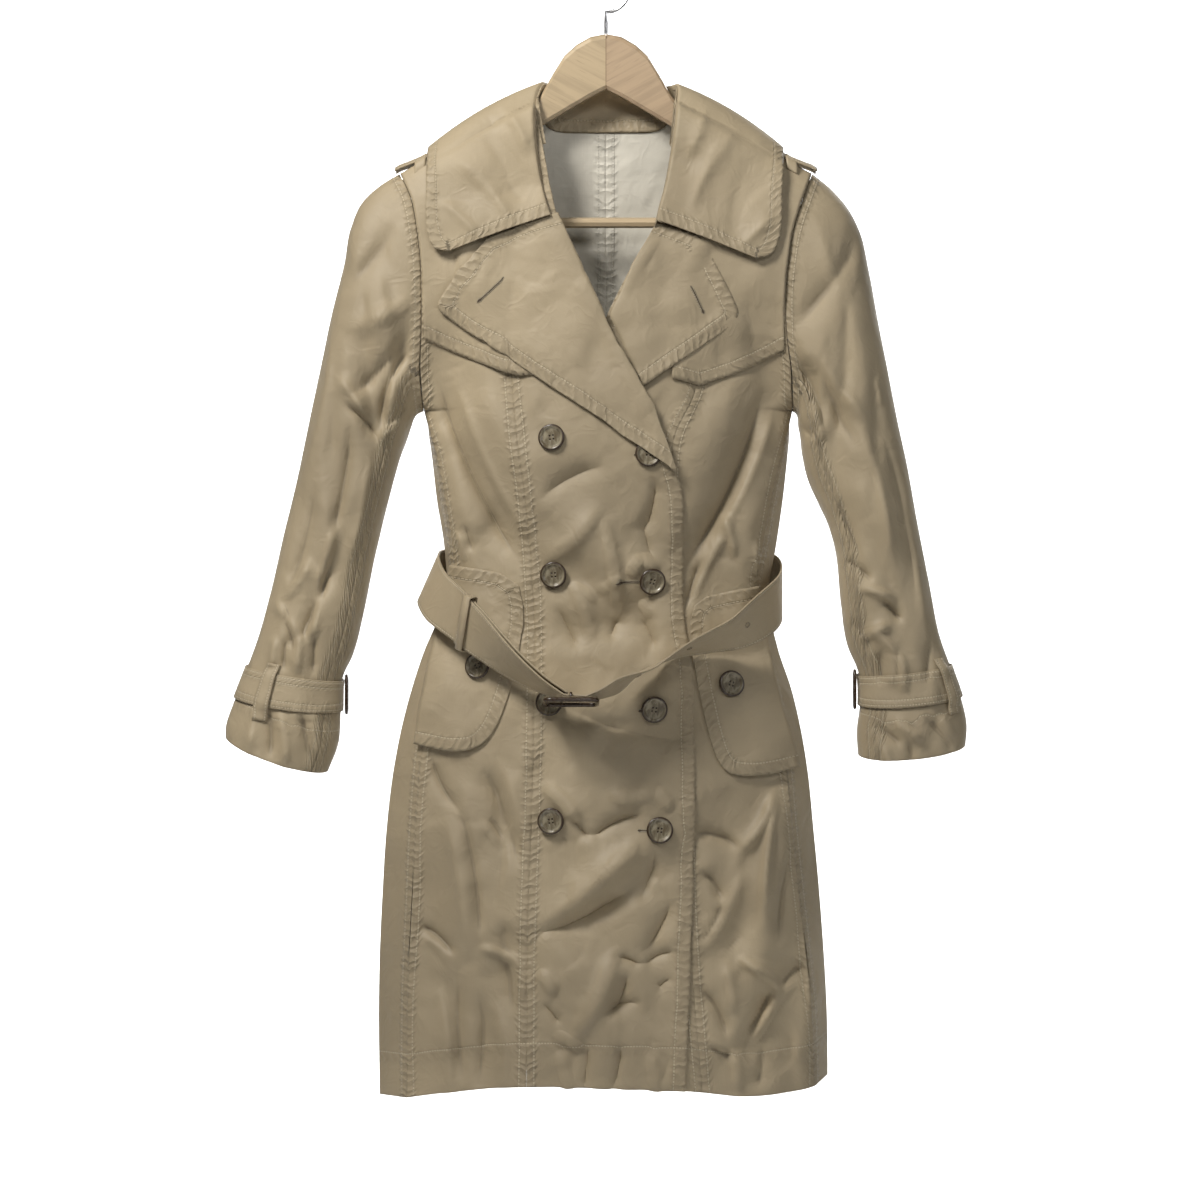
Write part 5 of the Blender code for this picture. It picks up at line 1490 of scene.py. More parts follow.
def make_cuffs(step):
    """A strap round each cuff with two loops over it; the strap's small buckle is made with the
    other buckles.
    """
    for side in SIDES:
        around = spaced(-1, 1, 260, step)[:-1]
        along = spaced(*CUFF_STRAP, 24, step)[:, None]
        band = facing_out(side, sleeve_point(side, along, around[None, :], CUFF_STRAP_LIFT))
        strap(f"cuff_strap_{side}", band, "top bottom", "khaki_rowed_strap", closed=True)
        along = spaced(*CUFF_LOOP["along"][[0, -1]], 44, step)
        lift = read(CUFF_LOOP, "lift", along, "along")
        for index, centre in enumerate(CUFF_LOOPS[side]):
            width = np.linspace(-0.045, 0.045, 7) + centre
            strip = sleeve_point(side, along[:, None], width[None, :], lift[:, None])
            strap(f"cuff_loop_{side}_{index + 1}", facing_out(side, strip), "left right")


# ---- buckles and buttons


def wire(name, points, radius, look, nodes, closed=False):
    """Round wire through points in mm, or several wires in one."""
    curve = bpy.data.curves.new(name, "CURVE")
    curve.dimensions = "3D"
    curve.bevel_depth = radius * MM
    curve.bevel_resolution = 4
    curve.use_fill_caps = not closed
    points = np.array(points, float)
    for line in points if points.ndim == 3 else [points]:
        spline = curve.splines.new("POLY")
        spline.points.add(len(line) - 1)
        for knot, point in zip(spline.points, world(line)):
            knot.co = (*point, 1)
        spline.use_cyclic_u = closed
        spline.use_smooth = True
    return hard(name, curve, look, nodes)


def make_buckles():
    """The belt's buckle with its bar and prong, and a small frame on each cuff strap."""
    centre = np.array(BUCKLE_AT)
    lean = math.radians(BUCKLE_LEAN)
    wide = np.array([0, -math.sin(lean), -math.cos(lean)])
    along = np.array([1.0, 0, 0])
    out = np.array([0, -math.cos(lean), math.sin(lean)])
    rise = BELT_THICK + SEAM + BUCKLE_WIRE
    half_long, half_wide = BUCKLE_HALF_LONG - BUCKLE_CORNER, BUCKLE_HALF_WIDE - BUCKLE_CORNER
    line = []
    for x_sign, wide_sign, first in ((1, 1, 0), (-1, 1, 90), (-1, -1, 180), (1, -1, 270)):
        for degrees in np.linspace(first, first + 90, 9):
            angle = math.radians(degrees)
            line.append(centre + out * rise
                        + along * (x_sign * half_long + BUCKLE_CORNER * math.cos(angle))
                        + wide * (wide_sign * half_wide + BUCKLE_CORNER * math.sin(angle)))
    wire("belt_buckle_frame", line, BUCKLE_WIRE, "horn", ["belt_buckle"], True)
    low = -SEAM - 1.8
    high = rise - BUCKLE_WIRE - SEAM - 0.4
    reach = BUCKLE_HALF_WIDE - 0.2
    line = [centre + wide * (sign * reach) + out * level
            for sign, level in ((1, high), (1, low), (-1, low), (-1, high))]
    wire("belt_buckle_axle", line, 1.2, "horn", ["belt_buckle_bar"])
    line = [centre + out * (BELT_THICK + SEAM + 0.9),
            centre + out * (BELT_THICK + SEAM + 0.9)
            - along * (BUCKLE_HALF_LONG - BUCKLE_WIRE - SEAM)]
    wire("belt_buckle_tongue", line, 0.9, "horn", ["belt_buckle_prong"])
    for side, sign in SIDES.items():
        seat = sleeve_point(side, 0.9055, 0.985, 3.0 + WALL)
        line = []
        for degrees in range(0, 360, 10):
            angle = math.radians(degrees)
            wave_y = 9 * np.sign(math.cos(angle)) * abs(math.cos(angle)) ** 0.5
            wave_drop = 17 * np.sign(math.sin(angle)) * abs(math.sin(angle)) ** 0.5
            line.append(seat + np.array([-sign * 2.1, wave_y, wave_drop]))
        wire(f"cuff_buckle_{side}_frame", line, 1.4, "horn",
             [f"cuff_buckle_{side}"], True)


def turned(profile, holes, count=72):
    """Mesh of a turned button about the z axis from its radius and height by ring."""
    rings = []
    angle = np.arange(count) * 2 * np.pi / count
    for radius, height in profile:
        x, y = radius * np.cos(angle), radius * np.sin(angle)
        sunk = np.zeros_like(x)
        if height > 0.5:
            for hole_x, hole_y in holes:
                near = np.hypot(x - hole_x, y - hole_y)
                sunk = sunk + 1.1 * (1 - ease(near, 0.6, 0.95))
        rings.append(joined(x, y, height - sunk))
    points = np.array(rings)
    index = np.arange(points.shape[0] * count).reshape(-1, count)
    index = np.concatenate([index, index[:, :1]], axis=1)
    faces = cell_corners(index).reshape(-1, 4)
    mesh = bpy.data.meshes.new("button")
    mesh.from_pydata((points.reshape(-1, 3) * MM).tolist(), [], faces.tolist())
    mesh.shade_smooth()
    return mesh


def button_seats():
    """Place and turn of each button: on the highest of the cloth under its rim."""
    seats = []
    for index in range(len(BUTTONS["x"])):
        x, drop, under = (BUTTONS[name][index] for name in ("x", "drop", "lift"))
        lift = under + WALL + SEAM
        angle = np.radians(np.arange(0, 360, 30))
        middle = Vector(world(front_point(x, drop, lift)))
        rim = world(front_point(x + BUTTON_RADIUS * np.cos(angle),
                                drop - BUTTON_RADIUS * np.sin(angle), lift))
        normal = Vector(rim[0] - rim[6]).cross(Vector(rim[3] - rim[9]))
        normal.normalize()
        seat = max(0, *((Vector(point) - middle).dot(normal) for point in rim))
        rotation = Vector((0, 0, 1)).rotation_difference(normal).to_matrix().to_4x4()
        seats.append(Matrix.Translation(middle + normal * (seat + SEAM * MM)) @ rotation)
    return seats


def make_buttons():
    """Eight buttons in two columns on the front and one on each pocket flap."""
    holes = [(sx * 1.6, sy * 1.6) for sx in (-1, 1) for sy in (-1, 1)]
    thick = BUTTON_THICK
    dish = [(radius, thick * 0.44) for radius in np.arange(0.05, 7.9, 0.2)]
    rim = [(8.2, thick * 0.5), (8.8, thick * 0.72), (9.5, thick * 0.92), (10.3, thick),
           (11.0, thick * 0.97), (11.6, thick * 0.85), (12.0, thick * 0.6), (11.9, thick * 0.3),
           (11.2, thick * 0.1), (9.5, 0.0), (0.05, 0.0)]
    mesh = turned(dish + rim, holes)
    for index, seat in enumerate(button_seats()):
        piece = link(f"button_{index + 1}_turned", mesh.copy())
        piece.data.materials.append(finish_named("horn"))
        piece.matrix_world = seat
        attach(piece, "root")
        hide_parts(f"button_{index + 1}")


# ---- the hanger


def make_hanger():
    """The wooden arms and bar and the steel hook keep their solids and get their finish."""
    looks = {
        "hanger_arm_right": "beech_right",
        "hanger_arm_left": "beech_left",
        "hanger_bar": "beech_bar",
        "hanger_hook": "plated_wire",
    }
    for node, look in looks.items():
        piece = bpy.data.objects[node]
        piece.data.materials.clear()
        piece.data.materials.append(finish_named(look))
    line = bpy.data.meshes.new("mitre_glue")
    half, top, foot = 6.6, 62, 110.5
    corners = [(x, y, drop) for x in (-0.28, 0.28) for y, drop in
               ((-half, top), (-half, foot), (half, foot), (half, top))]
    sides = [(0, 1, 5, 4), (1, 2, 6, 5), (2, 3, 7, 6), (3, 0, 4, 7), (3, 2, 1, 0), (4, 5, 6, 7)]
    line.from_pydata(world(corners).tolist(), [], sides)
    hard("mitre_glue", line, "dark_glue")


# ---- finishes and nodes


def add(tree, kind, values=None, **settings):
    """A node with its settings and the values or links of its inputs."""
    made = tree.nodes.new(kind)
    for name, value in settings.items():
        setattr(made, name, value)
    for name, value in (values or {}).items():
        socket = made.inputs[name]
        if isinstance(value, bpy.types.NodeSocket):
            tree.links.new(value, socket)
        else:
            socket.default_value = value
    return made


def sums(tree, operation, first, second=None, clamp=False):
    """A Math node on one or two numbers or sockets."""
    values = {0: first} if second is None else {0: first, 1: second}
    return add(tree, "ShaderNodeMath", values, operation=operation, use_clamp=clamp).outputs[0]


def times(tree, first, second, clamp=False):
    return sums(tree, "MULTIPLY", first, second, clamp)


def plus(tree, first, second, clamp=False):
    return sums(tree, "ADD", first, second, clamp)


def minus(tree, first, second):
    return sums(tree, "SUBTRACT", first, second)


def step_between(tree, value, low, high, start=0.0, end=1.0):
    """A soft step of a value from one number to another."""
    node = add(tree, "ShaderNodeMapRange",
               {"Value": value, "From Min": low, "From Max": high, "To Min": start,
                "To Max": end}, interpolation_type="SMOOTHSTEP")
    return node.outputs[0]


def object_place(tree):
    return add(tree, "ShaderNodeTexCoord").outputs["Object"]


def stretched(tree, place, by):
    """Places drawn out along each axis."""
    return add(tree, "ShaderNodeVectorMath", {0: place, 1: by}, operation="MULTIPLY").outputs[0]


def noise(tree, place, scale, detail=2.0, roughness=0.5, distortion=0.0):
    """Uneven values from 0 to 1 over places."""
    return add(tree, "ShaderNodeTexNoise", {
        "Vector": place, "Scale": scale, "Detail": detail, "Roughness": roughness,
        "Distortion": distortion}).outputs[0]


def new_group(name, inputs, outputs):
    """An empty node group: numbers go in, or vectors where the value is None, and come out."""
    tree = bpy.data.node_groups.new(name, "ShaderNodeTree")
    for label, value in inputs.items():
        kind = "NodeSocketVector" if value is None else "NodeSocketFloat"
        socket = tree.interface.new_socket(label, in_out="INPUT", socket_type=kind)
        if value is not None:
            socket.default_value = value
    for label in outputs:
        tree.interface.new_socket(label, in_out="OUTPUT", socket_type="NodeSocketFloat")
    return tree, tree.nodes.new("NodeGroupInput").outputs, tree.nodes.new("NodeGroupOutput").inputs


# Sewing, in mm: the distance of two rows of stitches and of the edge of the raised band from
# the cloth's edge, and the puckers that they gather
SEWING_SOCKETS = {
    "First Row": 1.6,
    "Second Row": 6.8,
    "Band": 8.0,
    "Band Height": 0.4,
    "Pucker Height": 0.5,
    "Pucker Pitch": 6.3,
    "Pucker Slant": 0.5,
    "Pucker Start": 0.0,
    "Stitch Length": 2.6,
}
SEWN = {
    "edge": (10.8, 10.8, 10.8, 0.3, 0.7, 8.0, 0.6, 0.0, 3.0),
    "seam": (6.6, 6.6, 7.4, 0.55, 0.9, 7.2, 0.3, 0.0, 3.0),
    "hem": (39.0, 39.0, 39.0, 0.1, 0.35, 11.0, 0.5, 33.0, 2.6),
    "strap": (2.0, 2.0, 2.0, 0.15, 0.12, 5.0, 0.5, 0.0, 2.6),
    "rowed strap": (2.2, 7.2, 7.4, 0.15, 0.25, 5.0, 0.5, 0.0, 2.6),
    "inside edge": (10.8, 10.8, 10.8, 0.1, 0.3, 8.0, 0.5, 0.0, 2.6),
    "inside seam": (6.6, 6.6, 7.4, 0.6, 0.8, 8.0, 0.3, 0.0, 2.6),
}


def sewing_group():
    """Rows of stitches along an edge, the raised band they hold and the puckers between, with
    painted shade in the stitch grooves, the pucker valleys and the needle holes.
    """
    tree, given, result = new_group("Sewing", {"Place": None, **SEWING_SOCKETS},
                                    ("Height", "Thread", "Painted Shade"))
    parts = add(tree, "ShaderNodeSeparateXYZ", {0: given["Place"]}).outputs
    near, run = parts[0], parts[1]
    half_stitch = times(tree, given["Stitch Length"], 0.5)
    share = sums(tree, "DIVIDE", sums(tree, "PINGPONG", run, half_stitch), half_stitch)
    stitch = step_between(tree, share, 0.12, 0.4)
    rows = []
    for row in ("First Row", "Second Row"):
        away = sums(tree, "ABSOLUTE", minus(tree, near, given[row]))
        rows.append((step_between(tree, away, 0.3, 0.75, 1.0, 0.0),
                     step_between(tree, away, 0.3, 1.6, 1.0, 0.0)))
    line = sums(tree, "MAXIMUM", rows[0][0], rows[1][0])
    thread = times(tree, line, stitch)
    # Needle holes between the stitches, which get painted shade.
    needle_hole_shade = times(tree, line, step_between(tree, share, 0.1, 0.34, 1.0, 0.0))
    # The groove along each row of stitches sinks the cloth and also drives painted shade there.
    groove_and_painted_shade = sums(tree, "MAXIMUM", rows[0][1], rows[1][1])
    uneven = noise(tree, given["Place"], 0.09)
    wander = times(tree, uneven, 1.6)
    turns = sums(tree, "DIVIDE", run, given["Pucker Pitch"])
    slanted = times(tree, near, given["Pucker Slant"])
    slant = sums(tree, "DIVIDE", slanted, given["Pucker Pitch"])
    phase = plus(tree, plus(tree, turns, slant), wander)
    wave = sums(tree, "PINGPONG", phase, 0.5)
    ridge_up = sums(tree, "POWER", times(tree, wave, 2.0), 1.4)
    faded = plus(tree, given["Band"], 5.0)
    inside = step_between(tree, near, given["Band"], faded, 1.0, 0.0)
    before = minus(tree, given["Pucker Start"], 6.0)
    after = step_between(tree, near, before, given["Pucker Start"])
    strength = step_between(tree, uneven, 0.3, 0.7, 0.45, 1.25)
    held = times(tree, times(tree, inside, after), strength)
    pucker = times(tree, times(tree, ridge_up, held), given["Pucker Height"])
    folded = plus(tree, given["Band"], 0.8)
    edge = step_between(tree, near, given["Band"], folded, 1.0, 0.0)
    band = times(tree, edge, given["Band Height"])
    height = plus(tree, band, pucker)
    height = minus(tree, height, times(tree, groove_and_painted_shade, 0.35))
    height = plus(tree, height, times(tree, thread, 0.25))
    tree.links.new(times(tree, height, MM), result["Height"])
    tree.links.new(thread, result["Thread"])
    # Painted shade: the valleys between the puckers go dark, and with them the grooves along the
    # stitch rows and the needle holes.
    dark = times(tree, held, minus(tree, 1.0, ridge_up))
    soft = sums(tree, "MAXIMUM", times(tree, groove_and_painted_shade, 0.6), dark)
    tree.links.new(sums(tree, "MAXIMUM", soft, times(tree, needle_hole_shade, 2.6)), result["Painted Shade"])
    return tree


def weave_group():
    """Fine plain weave with uneven threads, from the cloth's own lengths in metres."""
    tree, given, result = new_group(
        "Plain weave", {"Cloth": None, "Thread Pitch": 0.0005, "Depth": 0.00001},
        ("Height", "Streaks"))
    parts = add(tree, "ShaderNodeSeparateXYZ", {0: given["Cloth"]}).outputs
    waves, streaks = [], []
    for axis, scale in ((0, (900.0, 40.0, 1.0)), (1, (40.0, 900.0, 1.0))):
        turn = times(tree, sums(tree, "DIVIDE", parts[axis], given["Thread Pitch"]), math.pi)
        waves.append(sums(tree, "SINE", turn))
        streaks.append(noise(tree, stretched(tree, given["Cloth"], scale), 1.0, 1.0))
    woven = times(tree, waves[0], waves[1])
    uneven = times(tree, plus(tree, streaks[0], streaks[1]), 0.5)
    rough = plus(tree, sums(tree, "ABSOLUTE", woven), uneven)
    tree.links.new(times(tree, rough, given["Depth"]), result["Height"])
    tree.links.new(uneven, result["Streaks"])
    return tree


def crumple_group():
    """Small crisp crumples and soft waves of cloth that has been folded and worn."""
    tree, given, result = new_group("Crumple", {"Place": None, "Size": 0.03, "Depth": 0.0006},
                                    ("Height", "Mask"))
    scale = sums(tree, "DIVIDE", 1.0, given["Size"])
    soft = noise(tree, given["Place"], scale, 2.0, 0.45, 0.6)
    fine_scale = times(tree, scale, 2.3)
    fine = noise(tree, given["Place"], fine_scale, 1.0, distortion=1.2)
    folded = sums(tree, "ABSOLUTE", minus(tree, fine, 0.5))
    height = minus(tree, soft, times(tree, folded, 0.3))
    tree.links.new(times(tree, height, given["Depth"]), result["Height"])
    tree.links.new(soft, result["Mask"])
    return tree


GROUPS = {"Sewing": sewing_group, "Plain weave": weave_group, "Crumple": crumple_group}


def group(tree, name, values):
    """One of the shared node groups, placed with its own values."""
    shared = bpy.data.node_groups.get(name) or GROUPS[name]()
    made = tree.nodes.new("ShaderNodeGroup")
    made.node_tree = shared
    for label, value in values.items():
        if isinstance(value, bpy.types.NodeSocket):
            tree.links.new(value, made.inputs[label])
        else:
            made.inputs[label].default_value = value
    return made.outputs


def new_finish(name):
    """An empty material: its node tree and its Principled shader."""
    made = bpy.data.materials.new(name)
    made.use_nodes = True
    return made.node_tree, made.node_tree.nodes["Principled BSDF"]


def dress(tree, shader, colour, rough, height=None):
    """Give a finish its colour, its roughness and, where it has one, its relief in metres."""
    tree.links.new(colour, shader.inputs["Base Color"])
    tree.links.new(rough, shader.inputs["Roughness"])
    if height is not None:
        bump = add(tree, "ShaderNodeBump", {"Height": height, "Distance": 1.0})
        tree.links.new(bump.outputs[0], shader.inputs["Normal"])


def shaded(colour, share):
    """A darker or lighter shade of a colour."""
    return tuple(min(1.0, value * share) for value in colour)


def tint(tree, base, other, mask):
    """Mix of two colours by a mask."""
    made = tree.nodes.new("ShaderNodeMix")
    made.data_type = "RGBA"
    for socket, value in ((made.inputs[0], mask), (made.inputs[6], base), (made.inputs[7], other)):
        if isinstance(value, bpy.types.NodeSocket):
            tree.links.new(value, socket)
        else:
            socket.default_value = (*value, 1) if isinstance(value, tuple) else value
    return made.outputs[2]


def cloth_finish(name, colour, thread, sewing, sheen=0.08):
    """Cloth: fine weave, crumples and the sewing of its edges, seams and hem, with painted shade in
    the stitch grooves, pucker valleys, needle holes and crease valleys.
    """
    tree, shader = new_finish(name)
    lengths = add(tree, "ShaderNodeUVMap", uv_map="cloth").outputs[0]
    place = object_place(tree)
    weave = group(tree, "Plain weave", {"Cloth": lengths})
    crumple = group(tree, "Crumple", {"Place": place, "Size": 0.045, "Depth": 0.003})
    height = plus(tree, weave["Height"], crumple["Height"])
    sewn_thread = groove_and_painted_shade = None
    for kind, way in zip(("stitched", "felled", "hemmed"), sewing):
        near = add(tree, "ShaderNodeAttribute", attribute_name=kind).outputs["Vector"]
        sewn = group(tree, "Sewing", {"Place": near, **dict(zip(SEWING_SOCKETS, SEWN[way]))})
        height = plus(tree, height, sewn["Height"])
        if groove_and_painted_shade is None:
            sewn_thread, groove_and_painted_shade = sewn["Thread"], sewn["Painted Shade"]
        else:
            sewn_thread = sums(tree, "MAXIMUM", sewn_thread, sewn["Thread"])
            groove_and_painted_shade = sums(tree, "MAXIMUM", groove_and_painted_shade, sewn["Painted Shade"])
    faded = step_between(tree, noise(tree, place, 5.0, 3.0), 0.3, 0.7)
    shade = tint(tree, shaded(colour, 0.84), shaded(colour, 1.08), faded)
    streak = step_between(tree, weave["Streaks"], 0.35, 0.65, 0.0, 0.16)
    shade = tint(tree, shade, shaded(colour, 0.8), streak)
    # Painted shade in the stitch grooves, the pucker valleys and the needle holes.
    shade = tint(tree, shade, shaded(colour, 0.55), times(tree, groove_and_painted_shade, 0.27, clamp=True))
    # Painted shade in crease valleys: where the mesh is hollow, the colour goes darker.
    pointiness_for_valley_shade = add(tree, "ShaderNodeNewGeometry").outputs["Pointiness"]
    shade = tint(tree, shade, shaded(colour, 0.5),
                 step_between(tree, pointiness_for_valley_shade, 0.455, 0.497, 0.5, 0.0))
    shade = tint(tree, shade, thread, times(tree, sewn_thread, 0.5))
    rough = step_between(tree, crumple["Mask"], 0.3, 0.7, 0.56, 0.68)
    rough = plus(tree, rough, times(tree, sewn_thread, 0.1), clamp=True)
    dress(tree, shader, shade, rough, height)
    shader.inputs["Sheen Weight"].default_value = sheen
    shader.inputs["Sheen Roughness"].default_value = 0.4
    shader.inputs["Specular IOR Level"].default_value = 0.5


def khaki_cloth():
    cloth_finish("khaki_cloth", khaki(), thread(), ("edge", "seam", "hem"))


def khaki_strap():
    cloth_finish("khaki_strap", khaki(), shaded(thread(), 1.1), ("strap",))


def khaki_rowed_strap():
    cloth_finish("khaki_rowed_strap", khaki(), shaded(thread(), 1.1), ("rowed strap",))


def pale_wrong_side():
    inside = ("inside edge", "inside seam")
    cloth_finish("pale_wrong_side", wrong_side(), wrong_side(), inside, 0.2)


def horn():
    """Polished horn: smoky middle with soft streaks, a dark rim, and painted shade in its sunk
    holes and on its underside.
    """
    tree, shader = new_finish("horn")
    place = object_place(tree)
    drawn = stretched(tree, place, (150.0, 90.0, 150.0))
    streak = noise(tree, drawn, 1.0, 3.0, distortion=0.6)
    middle = tint(tree, (0.10, 0.078, 0.048), (0.28, 0.245, 0.17),
                  step_between(tree, streak, 0.3, 0.7))
    flat = stretched(tree, place, (1.0, 1.0, 0.0))
    radius = add(tree, "ShaderNodeVectorMath", {0: flat}, operation="LENGTH").outputs["Value"]
    wavy = plus(tree, radius, times(tree, streak, 0.002))
    rim = step_between(tree, wavy, 0.0104, 0.0122)
    # Painted shade in the sunk holes and on the low underside of the button.
    sunk_shade = step_between(tree, add(tree, "ShaderNodeSeparateXYZ", {0: place}).outputs[2],
                        0.0005, 0.0011, 1.0, 0.0)
    shade = tint(tree, middle, (0.035, 0.02, 0.01), sums(tree, "MAXIMUM", rim, sunk_shade))
    dress(tree, shader, shade, step_between(tree, streak, 0.3, 0.7, 0.2, 0.34),
          times(tree, streak, 0.00004))
    shader.inputs["Coat Weight"].default_value = 0.2


def beech(name, share, slope):
    """Pale oiled beech: long grain at a slope, short dark pores and a soft gloss."""
    tree, shader = new_finish(name)
    wood = bpy.context.scene.coat_colours.wood
    colour = tuple(value * part for value, part in zip(wood, share))
    sloped = add(tree, "ShaderNodeVectorRotate", {"Vector": object_place(tree), "Angle": slope},
                 rotation_type="Y_AXIS").outputs[0]
    drawn = stretched(tree, sloped, (9.0, 90.0, 190.0))
    grain = noise(tree, drawn, 1.0, 5.0, distortion=0.5)
    shade = tint(tree, shaded(colour, 0.84), colour, step_between(tree, grain, 0.38, 0.6))
    pores = step_between(tree, noise(tree, drawn, 6.0), 0.63, 0.74, 0.0, 0.4)
    shade = tint(tree, shade, shaded(colour, 0.45), pores)
    dress(tree, shader, shade, step_between(tree, grain, 0.3, 0.7, 0.34, 0.46),
          times(tree, pores, -0.0001))


def sewing_thread():
    """Twisted thread of buttonholes and eyelets."""
    tree, shader = new_finish("sewing_thread")
    twist = add(tree, "ShaderNodeTexWave", {"Vector": object_place(tree), "Scale": 700.0,
                                            "Distortion": 3.0},
                bands_direction="DIAGONAL").outputs[1]
    shade = tint(tree, shaded(khaki(), 0.35), shaded(thread(), 0.7), twist)
    dress(tree, shader, shade, step_between(tree, twist, 0.2, 0.8, 0.5, 0.7),
          times(tree, twist, 0.0002))


def specked(name, scale, detail, dark, light, rough, metallic=0.0):
    """A finish with fine specks or fibres that take it from a dark to a light colour."""
    tree, shader = new_finish(name)
    specks = noise(tree, object_place(tree), scale, detail)
    dress(tree, shader, tint(tree, dark, light, specks),
          step_between(tree, specks, 0.3, 0.7, *rough))
    shader.inputs["Metallic"].default_value = metallic


def dark_slit():
    """The shadow in a buttonhole's slit, with a few loose fibres."""
    specked("dark_slit", 1500.0, 2.0, (0.03, 0.02, 0.012), (0.09, 0.065, 0.04), (0.75, 0.9))


def dark_glue():
    """The thin line of glue in the hanger's mitre."""
    specked("dark_glue", 700.0, 2.0, (0.16, 0.10, 0.05), (0.26, 0.18, 0.10), (0.6, 0.8))


def plated_wire():
    """Drawn steel with a plated shine and fine marks."""
    specked("plated_wire", 900.0, 3.0, (0.45, 0.45, 0.46), (0.68, 0.68, 0.7), (0.18, 0.34), 1.0)


def khaki():
    return tuple(bpy.context.scene.coat_colours.cloth)


def thread():
    return tuple(bpy.context.scene.coat_colours.thread)


def wrong_side():
    return tuple(bpy.context.scene.coat_colours.wrong_side)


FINISHES = {
    "khaki_cloth": khaki_cloth,
    "khaki_strap": khaki_strap,
    "khaki_rowed_strap": khaki_rowed_strap,
    "pale_wrong_side": pale_wrong_side,
    "horn": horn,
    "beech_right": lambda: beech("beech_right", (1.0, 1.0, 1.0), -0.47),
    "beech_left": lambda: beech("beech_left", (0.93, 0.88, 0.9), 0.5),
    "beech_bar": lambda: beech("beech_bar", (1.1, 1.1, 1.1), 0.0),
    "plated_wire": plated_wire,
    "dark_glue": dark_glue,
    "sewing_thread": sewing_thread,
    "dark_slit": dark_slit,
}


def finish_named(name):
    if name not in bpy.data.materials:
        FINISHES[name]()
    return bpy.data.materials[name]


# What each piece was cut to before it was sewn and hung: width and length in mm, the share
# of that rectangle that the cut fills, and how the cloth is held; like pieces share a row
CUTS = {
    "front_centre_right": (190, 900, 0.64, "hung"),
    "front_centre_left": (170, 900, 0.60, "hung"),
    "front_side": (140, 880, 0.68, "hung"),
    "back_right": (270, 880, 0.80, "hung"),
    "back_left": (270, 880, 0.79, "hung"),
    "sleeve_upper_right": (230, 560, 0.74, "hung"),
    "sleeve_upper_left": (230, 560, 0.73, "hung"),
    "sleeve_under_right": (100, 420, 0.69, "hung"),
    "sleeve_under_left": (100, 420, 0.66, "hung"),
    "storm_flap_right": (120, 220, 0.78, "hung"),
    "storm_flap_left": (130, 230, 0.75, "hung"),
    "lapel_right": (160, 260, 0.48, "folded"),
    "lapel_left": (100, 130, 0.78, "folded"),
    "pocket_flap_right": (100, 165, 0.80, "hung"),
    "pocket_flap_left": (100, 165, 0.76, "hung"),
    "collar": (600, 120, 0.80, "folded"),
    "collar_stand": (290, 30, 0.68, "folded"),
    "belt": (1060, 46, 0.90, "hung"),
    "belt_keeper": (120, 10, 1.0, "folded"),
    "belt_loop": (10, 95, 1.0, "hung"),
    "epaulette": (90, 30, 0.9, "laid"),
    "epaulette_loop": (62, 10, 1.0, "folded"),
    "cuff_strap": (280, 24, 1.0, "folded"),
    "cuff_loop": (12, 46, 1.0, "folded"),
}


def cut_of(node):
    """A node's cut, by its whole name or by the first words that like pieces share."""
    words = node.split("_")
    names = ("_".join(words[:count]) for count in range(len(words), 0, -1))
    return CUTS[next(name for name in names if name in CUTS)]


# ---- the stage


def area_light(name, place, target, size, power, colour):
    lamp = bpy.data.lights.new(name, "AREA")
    lamp.shape = "RECTANGLE"
    lamp.size, lamp.size_y = size
    lamp.energy = power
    lamp.color = colour
    made = link(name, lamp)
    made.location = place
    made.rotation_euler = (Vector(target) - Vector(place)).to_track_quat("-Z", "Y").to_euler()


